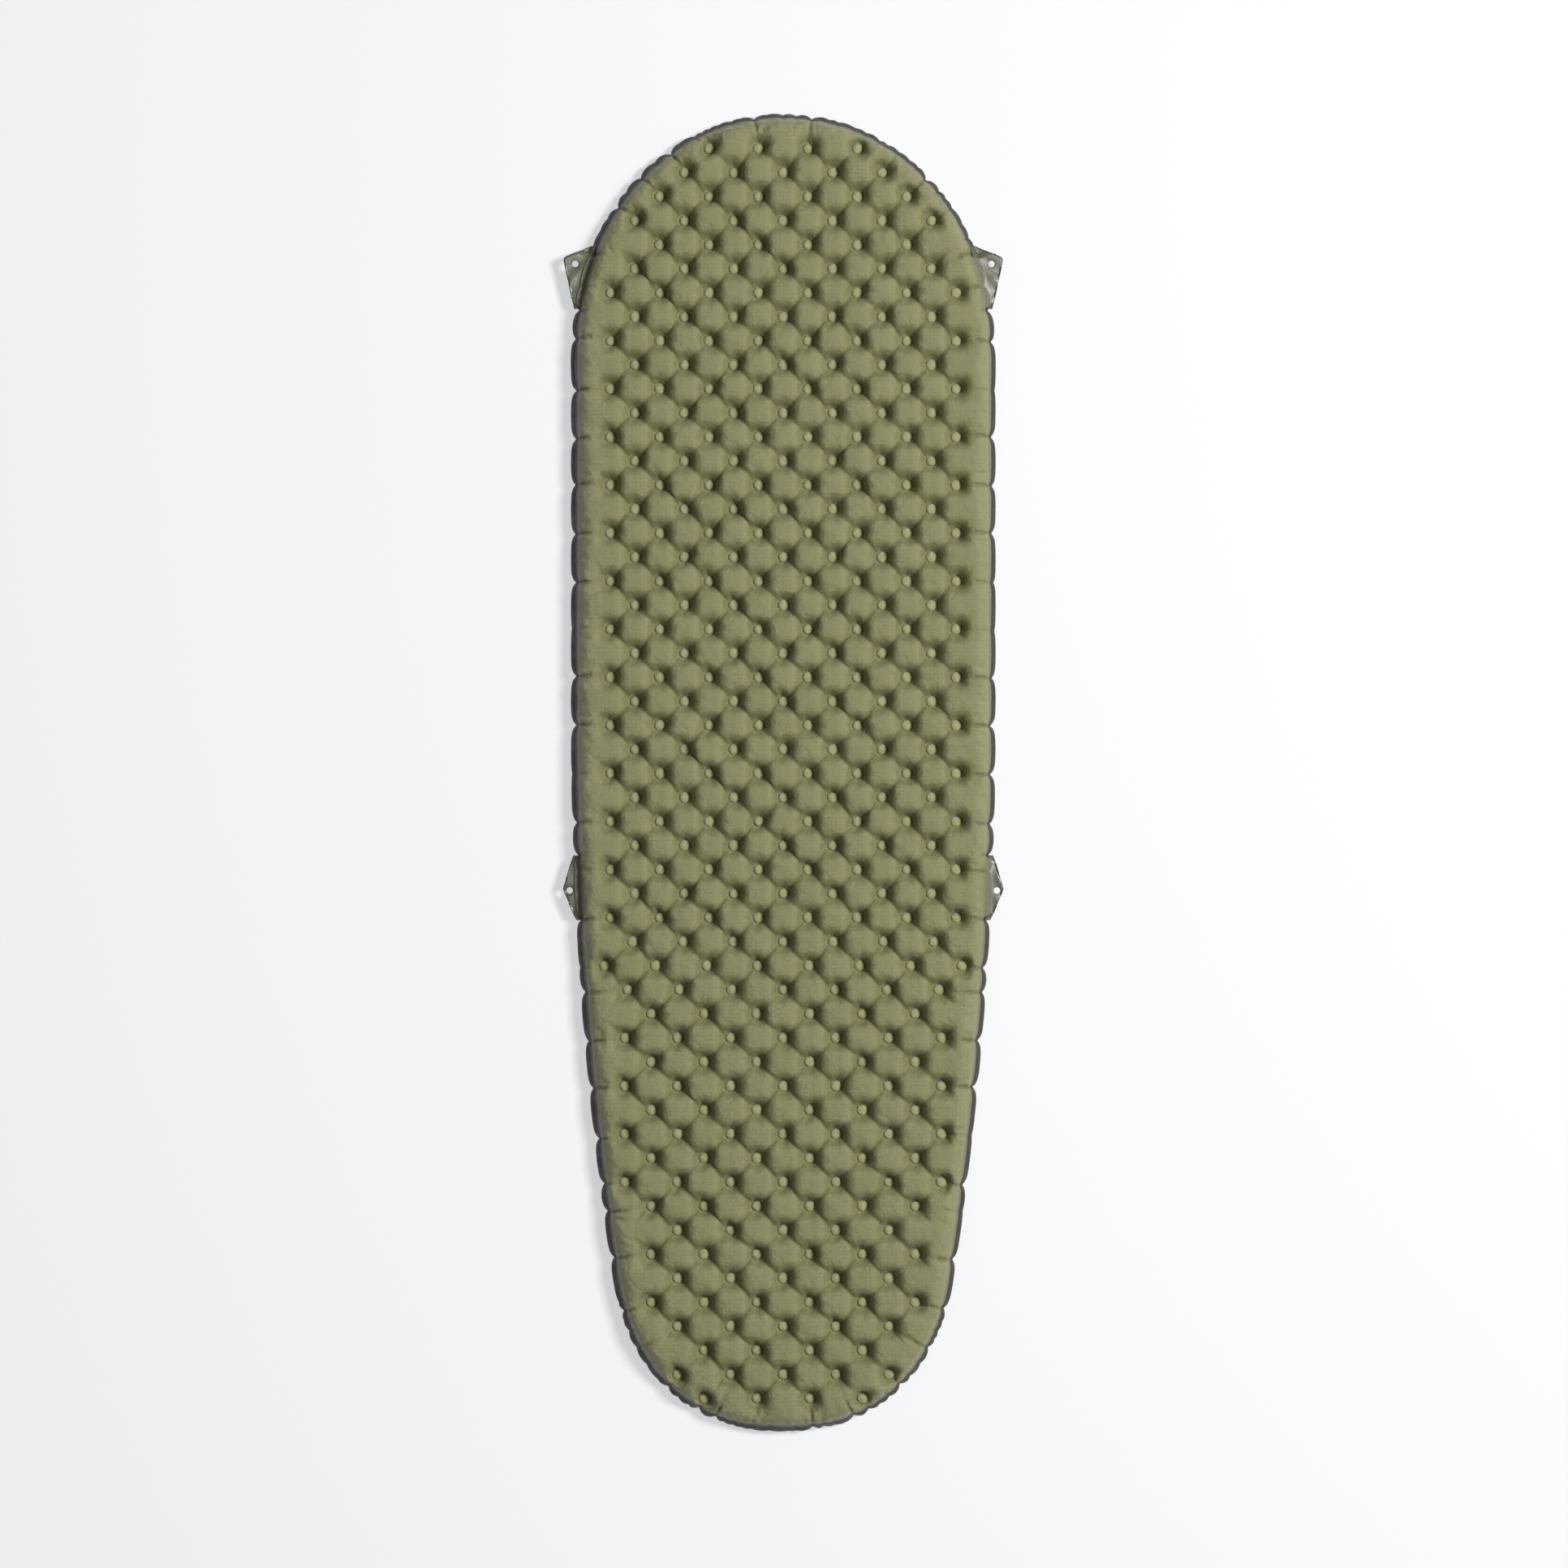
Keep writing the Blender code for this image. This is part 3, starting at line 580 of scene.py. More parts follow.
def flangeDrop(inset, run):
    # how far the welded rim hangs and flutters
    share = np.clip(1.0 - inset / padLayout["flangeWidth"], 0, 1.6)
    turn = 2 * math.pi * run / outlineLength
    wave = np.zeros(len(run))
    for count, phase, weight in rimValues["flutterWaves"]:
        wave += weight * np.sin(count * turn + phase)
    free = 1 - rimValues["tabHold"] * tabShare(run)
    return -rimValues["droop"] * free * share ** 1.4 + rimValues["flutter"] * free * share * wave


def noiseField(points, size, salt):
    return np.array([noise.noise((x / size, y / size, salt)) for x, y in points])


def shapeDetail(places, height, salt):
    # creases, pleats, wrinkles and rim notches over the inflated height; returns the flat shift,
    # the height, the places along the rim and a painted shade mask for the creases, rim creases and weld
    # pits
    inset, run = rimPlace(places)
    pit, closest = pitShare(places)
    seam, _, mark, ridge = seamShare(places, inset)
    pull, crease = rimCreases(inset, run)
    radius = quiltValues["weldRadius"]
    nearest = np.array([weldTree.find((x, y, 0.0))[1] for x, y in places])
    offset = places - welds[nearest]
    angle = np.arctan2(offset[:, 1], offset[:, 0])
    draw = np.random.default_rng(detailValues["seed"] + salt)
    phase = draw.uniform(0, 2 * math.pi, len(welds))[nearest]
    folds = draw.integers(*detailValues["pleatCount"], len(welds))[nearest]
    away = (closest - detailValues["pleatPlace"]) / detailValues["pleatReach"]
    ring = np.exp(-(away * detailValues["pleatNarrowing"]) ** 2)
    height = height + detailValues["pleatHeight"] * ring * np.sin(folds * angle + phase)
    height += quiltValues["shoulder"] * ridge * (1 - pit)
    size = detailValues["wrinkleSize"]
    fine = noiseField(places, size, salt) + 0.5 * noiseField(places, size / 2.3, salt + 5)
    height += detailValues["wrinkleHeight"] * fine * smoothStep(closest, radius, 3 * radius)
    height -= quiltValues["seamDepth"] * seam * (1 - pit) ** 0.5
    begun = smoothStep(inset, *quiltValues["rimCreaseStart"])
    height -= quiltValues["rimCreaseDepth"] * crease * begun
    low, high = quiltValues["discEdge"]
    height *= smoothStep(closest, radius * low, radius * high)
    height *= smoothStep(inset, *quiltValues["flangeEdge"])
    reach = padLayout["flangeWidth"] * rimValues["edgeReach"]
    share = np.clip((inset - reach) / -reach, 0, 1)
    inward = rimValues["notchDepth"] * pull * share ** 1.5
    index = np.searchsorted(outlineRun, run) % len(outline)
    shift = outlineInward[index] * inward[:, None]
    # painted shade: darkest along crease lines and rim creases, faint in the weld pits
    mark = np.clip(mark * (1 - 0.8 * pit) + 0.06 * pit + 0.9 * crease, 0, 1)
    return shift, np.maximum(height, 0.0), inset, run, mark


def closedSheet(name, mesh, wall):
    obj = addObject(name, mesh)
    shell = obj.modifiers.new("wall", "SOLIDIFY")
    shell.thickness = wall
    shell.offset = -1.0
    shell.use_rim = True
    done = evaluatedMesh(obj)
    bpy.data.objects.remove(obj)
    done.shade_smooth()
    return addObject(name, done)


def valveDish():
    # axis of the valve, radius of its hole in the fabric, level of the recess, flange radius
    low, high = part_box("valve_base")
    axis = np.array([(low.x + high.x) / 2, (low.y + high.y) / 2])
    points = nodePoints("bottom_sheet")
    away = np.linalg.norm(points[:, :2] - axis, axis=1)
    hole = away.min()
    level = points[away < hole * 1.05, 2].min()
    return axis, hole, level, (high.x - low.x) / 2


valveAxis, neckHole, dishLevel, baseRadius = valveDish()


def trimmed(mesh, axis, radius):
    # the neck's round hole in a sheet
    work = bmesh.new()
    work.from_mesh(mesh)
    inside = [face for face in work.faces
              if math.dist(face.calc_center_median()[:2], axis) < radius - 0.0001]
    bmesh.ops.delete(work, geom=inside, context="FACES")
    work.to_mesh(mesh)
    work.free()
    return mesh


def makeSheets(topMaterial, bottomMaterial):
    points, faces = flatNet(clothValues["cells"], clothValues["rimPoints"])
    inset, run = rimPlace(points)
    height, closest = startHeights(points, inset)
    flange = padLayout["flangeWidth"]
    start = np.column_stack([points, height])
    onWeld = closest < quiltValues["weldRadius"] * clothValues["heldWeld"]
    held = onWeld | (inset <= flange + clothValues["heldSlack"])
    moved = inflate(points, faces, height, held)
    keep = smoothStep(closest, *detailValues["smoothingReach"])
    keep *= smoothStep(inset, flange, detailValues["rimSmoothing"])
    moved = start + (moved - start) * keep[:, None]
    moved[:, 2] *= crownHeight / np.percentile(moved[:, 2], 90)
    bend = crownHeight * clothValues["flatTop"]
    room = crownHeight - bend
    over = moved[:, 2] - bend
    moved[:, 2] = np.where(over > 0, bend + room * np.tanh(over / room), moved[:, 2])
    print("sheets inflated,", len(points), "points")

    sheets = []
    for name, side, finish in (("top_skin", 1, topMaterial), ("bottom_skin", -1, bottomMaterial)):
        mesh, places = refined(name, moved, faces, points)
        body = positions(mesh)
        shift, raised, inset, run, mark = shapeDetail(places, body[:, 2], side + 1)
        if side < 0:
            away = np.linalg.norm(places - valveAxis, axis=1)
            dish = midPlane - dishLevel
            near, far = (baseRadius * share for share in clothValues["dishReach"])
            flat = 1 - smoothStep(away, near, far)
            raised = raised * (1 - flat) + dish * flat
        base = clothValues["sheetGap"] + clothValues["fabricWall"]
        drop = flangeDrop(inset, run)
        body[:, :2] += shift
        if side > 0:
            share = (1 - smoothStep(inset, 0.0, flange)) * (1 - tabShare(run))
            index = np.searchsorted(outlineRun, run) % len(outline)
            body[:, :2] += outlineInward[index] * (clothValues["topTrim"] * share)[:, None]
        body[:, 2] = midPlane + drop + side * (base + raised * (crownHeight - base) / crownHeight)
        if side < 0:
            away = np.linalg.norm(body[:, :2] - valveAxis, axis=1)
            ring = np.abs(away - neckHole) < clothValues["neckSnap"]
            outward = (body[:, :2] - valveAxis) / np.maximum(away, 1e-9)[:, None]
            body[ring, :2] = valveAxis + outward[ring] * neckHole
            body[:, 2] = np.maximum(body[:, 2], 0.0)
        mesh.vertices.foreach_set("co", body.ravel())
        # painted shade for the creases and weld pits, read by the fabric's colour
        paintedFoldShade = mesh.attributes.new("paintedFoldShade", "FLOAT", "POINT")
        paintedFoldShade.data.foreach_set("value", mark)
        edge = mesh.attributes.new("edge", "FLOAT", "POINT")
        rim = 1 - smoothStep(inset, *(flange * share for share in clothValues["rimMark"]))
        edge.data.foreach_set("value", rim)
        if side < 0:
            mesh = trimmed(mesh, valveAxis, neckHole)
            mesh.flip_normals()
        sheet = closedSheet(name, mesh, clothValues["fabricWall"])
        sheet.data.materials.clear()
        sheet.data.materials.append(finish)
        sheets.append(sheet)
    return sheets


# Finishes.
fabricValues = {
    "topColor": (0.172, 0.170, 0.076),
    "topShade": (0.064, 0.061, 0.009),
    "topRim": (0.120, 0.121, 0.086),
    "topRoughness": 0.38,
    "bottomColor": (0.040, 0.043, 0.036),
    "bottomShade": (0.022, 0.024, 0.020),
    "bottomRim": (0.016, 0.016, 0.012),
    "bottomRoughness": 0.52,
    "threadPitch": 0.00042,
    "ripstopPitch": 0.0052,
    "threadHeight": 0.35,
    "ripstopEdge": 0.93,         # of the wave, above which a thread of the ripstop grid shows
    "toneSize": 0.06,
    "crumpleSize": 0.008,
    "crumpleHeight": 12.0,
    "relief": 0.00018,
}


def nodeGroup(name, inputs, outputs):
    group = bpy.data.node_groups.new(name, "ShaderNodeTree")
    for label, kind, value in inputs:
        socket = group.interface.new_socket(name=label, in_out="INPUT", socket_type=kind)
        socket.default_value = value
    for label, kind in outputs:
        group.interface.new_socket(name=label, in_out="OUTPUT", socket_type=kind)
    start = group.nodes.new("NodeGroupInput")
    end = group.nodes.new("NodeGroupOutput")
    return group, start, end


def addNode(tree, kind, settings=None, values=None):
    node = tree.nodes.new(kind)
    for key, value in (settings or {}).items():
        setattr(node, key, value)
    for key, value in (values or {}).items():
        node.inputs[key].default_value = value
    return node


def mathNode(tree, operation, first, second=None):
    node = tree.nodes.new("ShaderNodeMath")
    node.operation = operation
    for slot, value in enumerate((first, second)):
        if value is None:
            continue
        if isinstance(value, (int, float)):
            node.inputs[slot].default_value = value
        else:
            tree.links.new(value, node.inputs[slot])
    return node.outputs[0]


def weaveGroup():
    # threads and the coarser ripstop grid of a thin coated fabric, as a height and a mask
    group, start, end = nodeGroup(
        "fabricWeave",
        [("Thread Pitch", "NodeSocketFloat", 0.0004), ("Ripstop Pitch", "NodeSocketFloat", 0.005)],
        [("Height", "NodeSocketFloat"), ("Ripstop", "NodeSocketFloat")])
    place = addNode(group, "ShaderNodeTexCoord")
    split = addNode(group, "ShaderNodeSeparateXYZ")
    group.links.new(place.outputs["Object"], split.inputs[0])
    threads = []
    lines = []
    for axis in (0, 1):
        step = mathNode(group, "DIVIDE", split.outputs[axis], start.outputs["Thread Pitch"])
        threads.append(mathNode(group, "SINE", mathNode(group, "MULTIPLY", step, 2 * math.pi)))
        coarse = mathNode(group, "DIVIDE", split.outputs[axis], start.outputs["Ripstop Pitch"])
        wave = mathNode(group, "COSINE", mathNode(group, "MULTIPLY", coarse, 2 * math.pi))
        lines.append(mathNode(group, "GREATER_THAN", wave, fabricValues["ripstopEdge"]))
    weave = mathNode(group, "MULTIPLY", threads[0], threads[1])
    grid = mathNode(group, "MAXIMUM", lines[0], lines[1])
    fine = mathNode(group, "MULTIPLY", weave, fabricValues["threadHeight"])
    height = mathNode(group, "ADD", fine, grid)
    group.links.new(height, end.inputs["Height"])
    group.links.new(grid, end.inputs["Ripstop"])
    return group


def toneGroup():
    # slow uneven tone and faint scuffs, both from 0 to 1
    group, start, end = nodeGroup(
        "unevenTone", [("Size", "NodeSocketFloat", 0.05), ("Scuff Size", "NodeSocketFloat", 0.004)],
        [("Tone", "NodeSocketFloat"), ("Scuff", "NodeSocketFloat")])
    place = addNode(group, "ShaderNodeTexCoord")
    for size, detail, label in (("Size", 3.0, "Tone"), ("Scuff Size", 5.0, "Scuff")):
        noise = addNode(group, "ShaderNodeTexNoise", None, {"Detail": detail, "Roughness": 0.6})
        group.links.new(place.outputs["Object"], noise.inputs["Vector"])
        scale = mathNode(group, "DIVIDE", 1.0, start.outputs[size])
        group.links.new(scale, noise.inputs["Scale"])
        group.links.new(noise.outputs["Fac"], end.inputs[label])
    return group


weave = weaveGroup()
tone = toneGroup()


def placeGroup(tree, group, values):
    node = tree.nodes.new("ShaderNodeGroup")
    node.node_tree = group
    for key, value in values.items():
        node.inputs[key].default_value = value
    return node


def mixColor(tree, share, first, second):
    node = tree.nodes.new("ShaderNodeMix")
    node.data_type = "RGBA"
    tree.links.new(share, node.inputs["Factor"])
    for socket, value in ((node.inputs["A"], first), (node.inputs["B"], second)):
        if isinstance(value, tuple):
            socket.default_value = (*value, 1.0)
        else:
            tree.links.new(value, socket)
    return node.outputs["Result"]


def ramped(tree, value, low, high, first, last):
    node = tree.nodes.new("ShaderNodeMapRange")
    tree.links.new(value, node.inputs["Value"])
    for key, number in (("From Min", low), ("From Max", high), ("To Min", first), ("To Max", last)):
        node.inputs[key].default_value = number
    return node.outputs["Result"]


def bumpFrom(tree, height, distance):
    node = tree.nodes.new("ShaderNodeBump")
    node.inputs["Strength"].default_value = 1.0
    node.inputs["Distance"].default_value = distance
    tree.links.new(height, node.inputs["Height"])
    return node.outputs["Normal"]


def newMaterial(name, roughness, sockets=None):
    item = bpy.data.materials.new(name)
    item.use_nodes = True
    shader = item.node_tree.nodes["Principled BSDF"]
    shader.inputs["Roughness"].default_value = roughness
    for key, value in (sockets or {}).items():
        shader.inputs[key].default_value = value
    return item, item.node_tree, shader


def attributeOf(tree, name):
    node = tree.nodes.new("ShaderNodeAttribute")
    node.attribute_name = name
    return node.outputs["Fac"]


def fabricMaterial(name, color, shade, rimColor, roughness, sockets):
    # woven and coated; painted shade darkens its creases and weld pits, and its rim carries its own
    # colour
    item, tree, shader = newMaterial(name, roughness, sockets)
    threads = placeGroup(tree, weave, {"Thread Pitch": fabricValues["threadPitch"],
                                       "Ripstop Pitch": fabricValues["ripstopPitch"]})
    uneven = placeGroup(tree, tone, {"Size": fabricValues["toneSize"],
                                     "Scuff Size": fabricValues["crumpleSize"]})
    base = mixColor(tree, ramped(tree, uneven.outputs["Tone"], 0.3, 0.7, 0.0, 0.16), color, shade)
    lined = mixColor(tree, mathNode(tree, "MULTIPLY", threads.outputs["Ripstop"], 0.07), base, shade)
    # painted shade: creases and weld pits mixed towards the shade colour
    creaseShaded = mixColor(tree, ramped(tree, attributeOf(tree, "paintedFoldShade"), 0.10, 0.8, 0.0, 0.85), lined, shade)
    rim = mixColor(tree, attributeOf(tree, "edge"), creaseShaded, rimColor)
    tree.links.new(rim, shader.inputs["Base Color"])
    rough = ramped(tree, uneven.outputs["Scuff"], 0.3, 0.7, roughness - 0.14, roughness + 0.14)
    tree.links.new(rough, shader.inputs["Roughness"])
    crumple = mathNode(tree, "MULTIPLY", uneven.outputs["Scuff"], fabricValues["crumpleHeight"])
    height = mathNode(tree, "ADD", threads.outputs["Height"], crumple)
    tree.links.new(bumpFrom(tree, height, fabricValues["relief"]), shader.inputs["Normal"])
    return item


topFabric = fabricMaterial("oliveFabric", fabricValues["topColor"], fabricValues["topShade"],
                           fabricValues["topRim"], fabricValues["topRoughness"],
                           {"Sheen Weight": 0.08})
bottomFabric = fabricMaterial("darkFabric", fabricValues["bottomColor"], fabricValues["bottomShade"],
                              fabricValues["bottomRim"], fabricValues["bottomRoughness"],
                              {"Sheen Weight": 0.06})
topSkin, bottomSkin = makeSheets(topFabric, bottomFabric)
for skin, node, slot in ((topSkin, "top_sheet", "top_fabric"),
                         (bottomSkin, "bottom_sheet", "bottom_fabric")):
    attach(skin, "pad")
    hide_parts(node)
print("sheets made")


# Weld dots, repeated over both sheets.
dotValues = {
    "radius": 0.0078,
    "dome": 0.0034,              # height of the puffed middle of a weld
    "sink": 0.0003,
    "around": 16,
    "rings": 5,
    "sizeSpread": 0.08,
    "seed": 21,
    # the weld's own lighter colour, raised further as a painted highlight on the nubs
    "topColor": (0.245, 0.240, 0.118),
    "topShade": (0.165, 0.160, 0.065),
    "topRoughness": 0.34,
    "bottomColor": (0.052, 0.055, 0.047),
    "bottomShade": (0.030, 0.032, 0.028),
    "bottomRoughness": 0.40,
}


def geometryTree(name, inputs):
    tree = bpy.data.node_groups.new(name, "GeometryNodeTree")
    tree.interface.new_socket(name="Geometry", in_out="INPUT", socket_type="NodeSocketGeometry")
    for label, kind in inputs:
        tree.interface.new_socket(name=label, in_out="INPUT", socket_type=kind)
    tree.interface.new_socket(name="Geometry", in_out="OUTPUT", socket_type="NodeSocketGeometry")
    return tree, tree.nodes.new("NodeGroupInput"), tree.nodes.new("NodeGroupOutput")


def dotTree():
    # a flat-bottomed dome on every point, each turned and sized a little differently
    tree, start, end = geometryTree("weldDots", [
        ("Radius", "NodeSocketFloat"), ("Dome", "NodeSocketFloat"), ("Sink", "NodeSocketFloat"),
        ("Around", "NodeSocketInt"), ("Rings", "NodeSocketInt"), ("Spread", "NodeSocketFloat"),
        ("Seed", "NodeSocketInt"), ("Side", "NodeSocketFloat"), ("Finish", "NodeSocketMaterial")])
    link = tree.links.new
    ball = addNode(tree, "GeometryNodeMeshUVSphere", None, {"Radius": 1.0})
    link(start.outputs["Around"], ball.inputs["Segments"])
    link(start.outputs["Rings"], ball.inputs["Rings"])
    place = addNode(tree, "GeometryNodeInputPosition")
    parts = addNode(tree, "ShaderNodeSeparateXYZ")
    link(place.outputs[0], parts.inputs[0])
    across = start.outputs["Radius"]
    high = mathNode(tree, "MULTIPLY", parts.outputs[2], start.outputs["Dome"])
    low = mathNode(tree, "MULTIPLY", start.outputs["Sink"], -1.0)
    joined = addNode(tree, "ShaderNodeCombineXYZ")
    link(mathNode(tree, "MULTIPLY", parts.outputs[0], across), joined.inputs[0])
    link(mathNode(tree, "MULTIPLY", parts.outputs[1], across), joined.inputs[1])
    link(mathNode(tree, "MAXIMUM", high, low), joined.inputs[2])
    shaped = addNode(tree, "GeometryNodeSetPosition")
    link(ball.outputs["Mesh"], shaped.inputs["Geometry"])
    link(joined.outputs[0], shaped.inputs["Position"])
    turn = addNode(tree, "FunctionNodeRandomValue", {"data_type": "FLOAT"},
                   {"Min": 0.0, "Max": 2 * math.pi})
    link(start.outputs["Seed"], turn.inputs["Seed"])
    size = addNode(tree, "FunctionNodeRandomValue", {"data_type": "FLOAT"})
    link(mathNode(tree, "SUBTRACT", 1.0, start.outputs["Spread"]), size.inputs[2])
    link(mathNode(tree, "ADD", 1.0, start.outputs["Spread"]), size.inputs[3])
    link(start.outputs["Seed"], size.inputs["Seed"])
    tilt = addNode(tree, "ShaderNodeCombineXYZ")
    below = mathNode(tree, "LESS_THAN", start.outputs["Side"], 0.0)
    link(mathNode(tree, "MULTIPLY", below, math.pi), tilt.inputs[0])
    link(turn.outputs[1], tilt.inputs[2])
    spread = addNode(tree, "GeometryNodeInstanceOnPoints")
    link(start.outputs["Geometry"], spread.inputs["Points"])
    link(shaped.outputs[0], spread.inputs["Instance"])
    link(tilt.outputs[0], spread.inputs["Rotation"])
    link(size.outputs[1], spread.inputs["Scale"])
    real = addNode(tree, "GeometryNodeRealizeInstances")
    link(spread.outputs[0], real.inputs[0])
    smooth = addNode(tree, "GeometryNodeSetShadeSmooth")
    link(real.outputs[0], smooth.inputs["Geometry"])
    painted = addNode(tree, "GeometryNodeSetMaterial")
    link(smooth.outputs[0], painted.inputs["Geometry"])
    link(start.outputs["Finish"], painted.inputs["Material"])
    link(painted.outputs[0], end.inputs[0])
    return tree


def grown(name, mesh, tree, values):
    # the tree's result on a mesh, as a plain mesh object
    carrier = addObject(name + "_points", mesh)
    modifier = carrier.modifiers.new("grow", "NODES")
    modifier.node_group = tree
    for item in tree.interface.items_tree:
        if item.in_out == "INPUT" and item.name in values:
            modifier[item.identifier] = values[item.name]
    done = evaluatedMesh(carrier)
    bpy.data.objects.remove(carrier)
    return addObject(name, done)


def makeDots(tree, name, side, finish):
    base = clothValues["sheetGap"] + clothValues["fabricWall"]
    height = midPlane + side * (base + dotValues["sink"])
    if side < 0:
        clear = np.linalg.norm(welds - valveAxis, axis=1) > baseRadius
    else:
        clear = np.ones(len(welds), bool)
    points = [(x, y, height) for x, y in welds[clear]]
    dots = grown(name, meshFrom(name, points, []), tree, {
        "Radius": dotValues["radius"], "Dome": dotValues["dome"], "Sink": dotValues["sink"],
        "Around": dotValues["around"], "Rings": dotValues["rings"],
        "Spread": dotValues["sizeSpread"], "Seed": dotValues["seed"] + side,
        "Side": float(side), "Finish": finish})
    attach(dots, "pad")
    return dots


# weld finish: lighter than the fabric, partly a painted highlight on the nubs
topWeld = fabricMaterial("oliveWeld", dotValues["topColor"], dotValues["topShade"],
                         dotValues["topColor"], dotValues["topRoughness"], {"Sheen Weight": 0.08})
bottomWeld = fabricMaterial("darkWeld", dotValues["bottomColor"], dotValues["bottomShade"],
                            dotValues["bottomColor"], dotValues["bottomRoughness"],
                            {"Sheen Weight": 0.1})
weldDots = dotTree()
makeDots(weldDots, "top_weld_dots", 1, topWeld)
makeDots(weldDots, "bottom_weld_dots", -1, bottomWeld)
print("weld dots made")


# Tie-out tabs.
tabValues = {
    "edgeStep": 0.0012,
    "gridStep": 0.0024,
    "holeSides": 28,
    "seamInset": 0.0022,         # pressed line inside the tab's edge
    "seamDepth": 0.00022,
    "seamWidth": 0.0007,
    "holeRims": (1.0, 1.22),     # hole radii of the rings of points round the hole
    "holeClear": 1.35,
    "holeSeamInset": 0.0016,
    "holeSeamWidth": 0.0006,
    "curl": 0.0030,              # how far the tip lifts or hangs
    "curlReach": 0.03,
    "buckle": 0.0009,
    "buckleWaves": (190, 120),   # along the rim and away from the pad
    "buckleReach": 0.01,
    "markEdge": (0.0014, 0.0026),
    "markHole": 0.0006,
    "wall": 0.0006,
    "color": (0.090, 0.093, 0.060),
    "cloud": (0.058, 0.060, 0.038),
    "edgeColor": (0.032, 0.033, 0.024),
}

# how far each tab curls up or down
tabLifts = {
    "shoulder_tab_left": 0.6,
    "shoulder_tab_right": -0.5,
    "side_tab_left": -0.4,
    "side_tab_right": 0.7,
}


def stepped(loop, step):
    # closed loop with points at a small even step, corners kept
    result = []
    for start, end in zip(loop, np.roll(loop, -1, axis=0)):
        pieces = max(1, int(math.ceil(np.linalg.norm(end - start) / step)))
        result += [start + (end - start) * k / pieces for k in range(pieces)]
    return np.array(result)


def tabShape(node):
    # outline, hole centre, hole radius and upper level of a tab, from its plain solid
    points = nodePoints(node)
    flat = np.unique(points[:, :2].round(5), axis=0)
    hull = hullOf(flat)
    inset, _ = rimPlace(flat)
    ring = flat[(inset < -0.0004) & (distanceToLoop(flat, hull) > 0.0012)]
    centre = (ring.min(axis=0) + ring.max(axis=0)) / 2
    radius = np.linalg.norm(ring - centre, axis=1).mean()
    return hull, centre, radius, points[:, 2].max()


def insideLoop(point, loop):
    x, y = point
    inside = False
    for (x0, y0), (x1, y1) in zip(loop, np.roll(loop, -1, axis=0)):
        if (y0 > y) != (y1 > y) and x < x0 + (y - y0) / (y1 - y0) * (x1 - x0):
            inside = not inside
    return inside


def tabNet(hull, centre, radius):
    # flat points and faces between a tab's outline and its hole
    edge = stepped(hull, tabValues["edgeStep"])
    sides = tabValues["holeSides"]
    turns = np.arange(sides) * 2 * math.pi / sides
    circle = np.column_stack([np.cos(turns), np.sin(turns)])
    rings = [centre + circle * radius * share for share in tabValues["holeRims"]]
    low, far = hull.min(axis=0), hull.max(axis=0)
    step = tabValues["gridStep"]
    grid = np.array([(x, y) for x in np.arange(low[0], far[0], step)
                     for y in np.arange(low[1], far[1], step)])
    away = distanceToLoop(grid, hull)
    inside = [insideLoop(p, hull) for p in grid]
    clear = np.linalg.norm(grid - centre, axis=1) > radius * tabValues["holeClear"]
    grid = grid[(away > step * 0.6) & inside & clear]
    points = np.vstack([edge, *rings, grid])
    edges = [(k, (k + 1) % len(edge)) for k in range(len(edge))]
    for number in range(len(rings)):
        first = len(edge) + number * sides
        edges += [(first + k, first + (k + 1) % sides) for k in range(sides)]
    net = delaunay_2d_cdt([Vector(p) for p in points], edges, [], 1, 1e-7, True)
    flat = np.array([tuple(p) for p in net[0]])
    faces = [face for face in net[2]
             if math.dist(flat[list(face)].mean(axis=0), centre) > radius * 0.97]
    return flat, faces


def pressed(distance, width):
    return tabValues["seamDepth"] * np.exp(-(distance / width) ** 2)


def makeTab(name, node, lift, finish):
    hull, centre, radius, high = tabShape(node)
    flat, faces = tabNet(hull, centre, radius)
    inset, run = rimPlace(flat)
    out = np.clip(-inset / tabValues["curlReach"], 0, 1)
    z = high + flangeDrop(np.maximum(inset, 0.0), run) + lift * tabValues["curl"] * out ** 1.3
    border = distanceToLoop(flat, hull)
    z -= pressed(border - tabValues["seamInset"], tabValues["seamWidth"])
    rim = np.linalg.norm(flat - centre, axis=1) - radius
    z -= pressed(rim - tabValues["holeSeamInset"], tabValues["holeSeamWidth"])
    along, across = tabValues["buckleWaves"]
    wave = np.array([math.sin(along * y + across * abs(x)) for x, y in flat])
    z += tabValues["buckle"] * wave * np.clip(-inset / tabValues["buckleReach"], 0, 1)
    mesh = meshFrom(name, np.column_stack([flat, z]), faces)
    weld = mesh.attributes.new("edge", "FLOAT", "POINT")
    mark = np.minimum(border, rim + tabValues["markHole"])
    weld.data.foreach_set("value", 1 - smoothStep(mark, *tabValues["markEdge"]))
    tab = closedSheet(name, mesh, tabValues["wall"])
    tab.data.materials.clear()
    tab.data.materials.append(finish)
    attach(tab, "pad")
    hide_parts(node)


def filmMaterial():
    # welded film: clouded grey-olive, darker along its pressed edge
    item, tree, shader = newMaterial("weldedFilm", 0.34, {"Coat Weight": 0.15})
    uneven = placeGroup(tree, tone, {"Size": 0.012, "Scuff Size": 0.0016})
    body = mixColor(tree, ramped(tree, uneven.outputs["Tone"], 0.3, 0.7, 0.0, 1.0),
                    tabValues["color"], tabValues["cloud"])
    edged = mixColor(tree, attributeOf(tree, "edge"), body, tabValues["edgeColor"])
    tree.links.new(edged, shader.inputs["Base Color"])
    tree.links.new(ramped(tree, uneven.outputs["Scuff"], 0.3, 0.7, 0.28, 0.44),
                   shader.inputs["Roughness"])
    tree.links.new(bumpFrom(tree, uneven.outputs["Scuff"], 0.0003), shader.inputs["Normal"])
    return item


tabFilm = filmMaterial()
for node, lift in tabLifts.items():
    makeTab(node + "_film", node, lift, tabFilm)
print("tabs made")


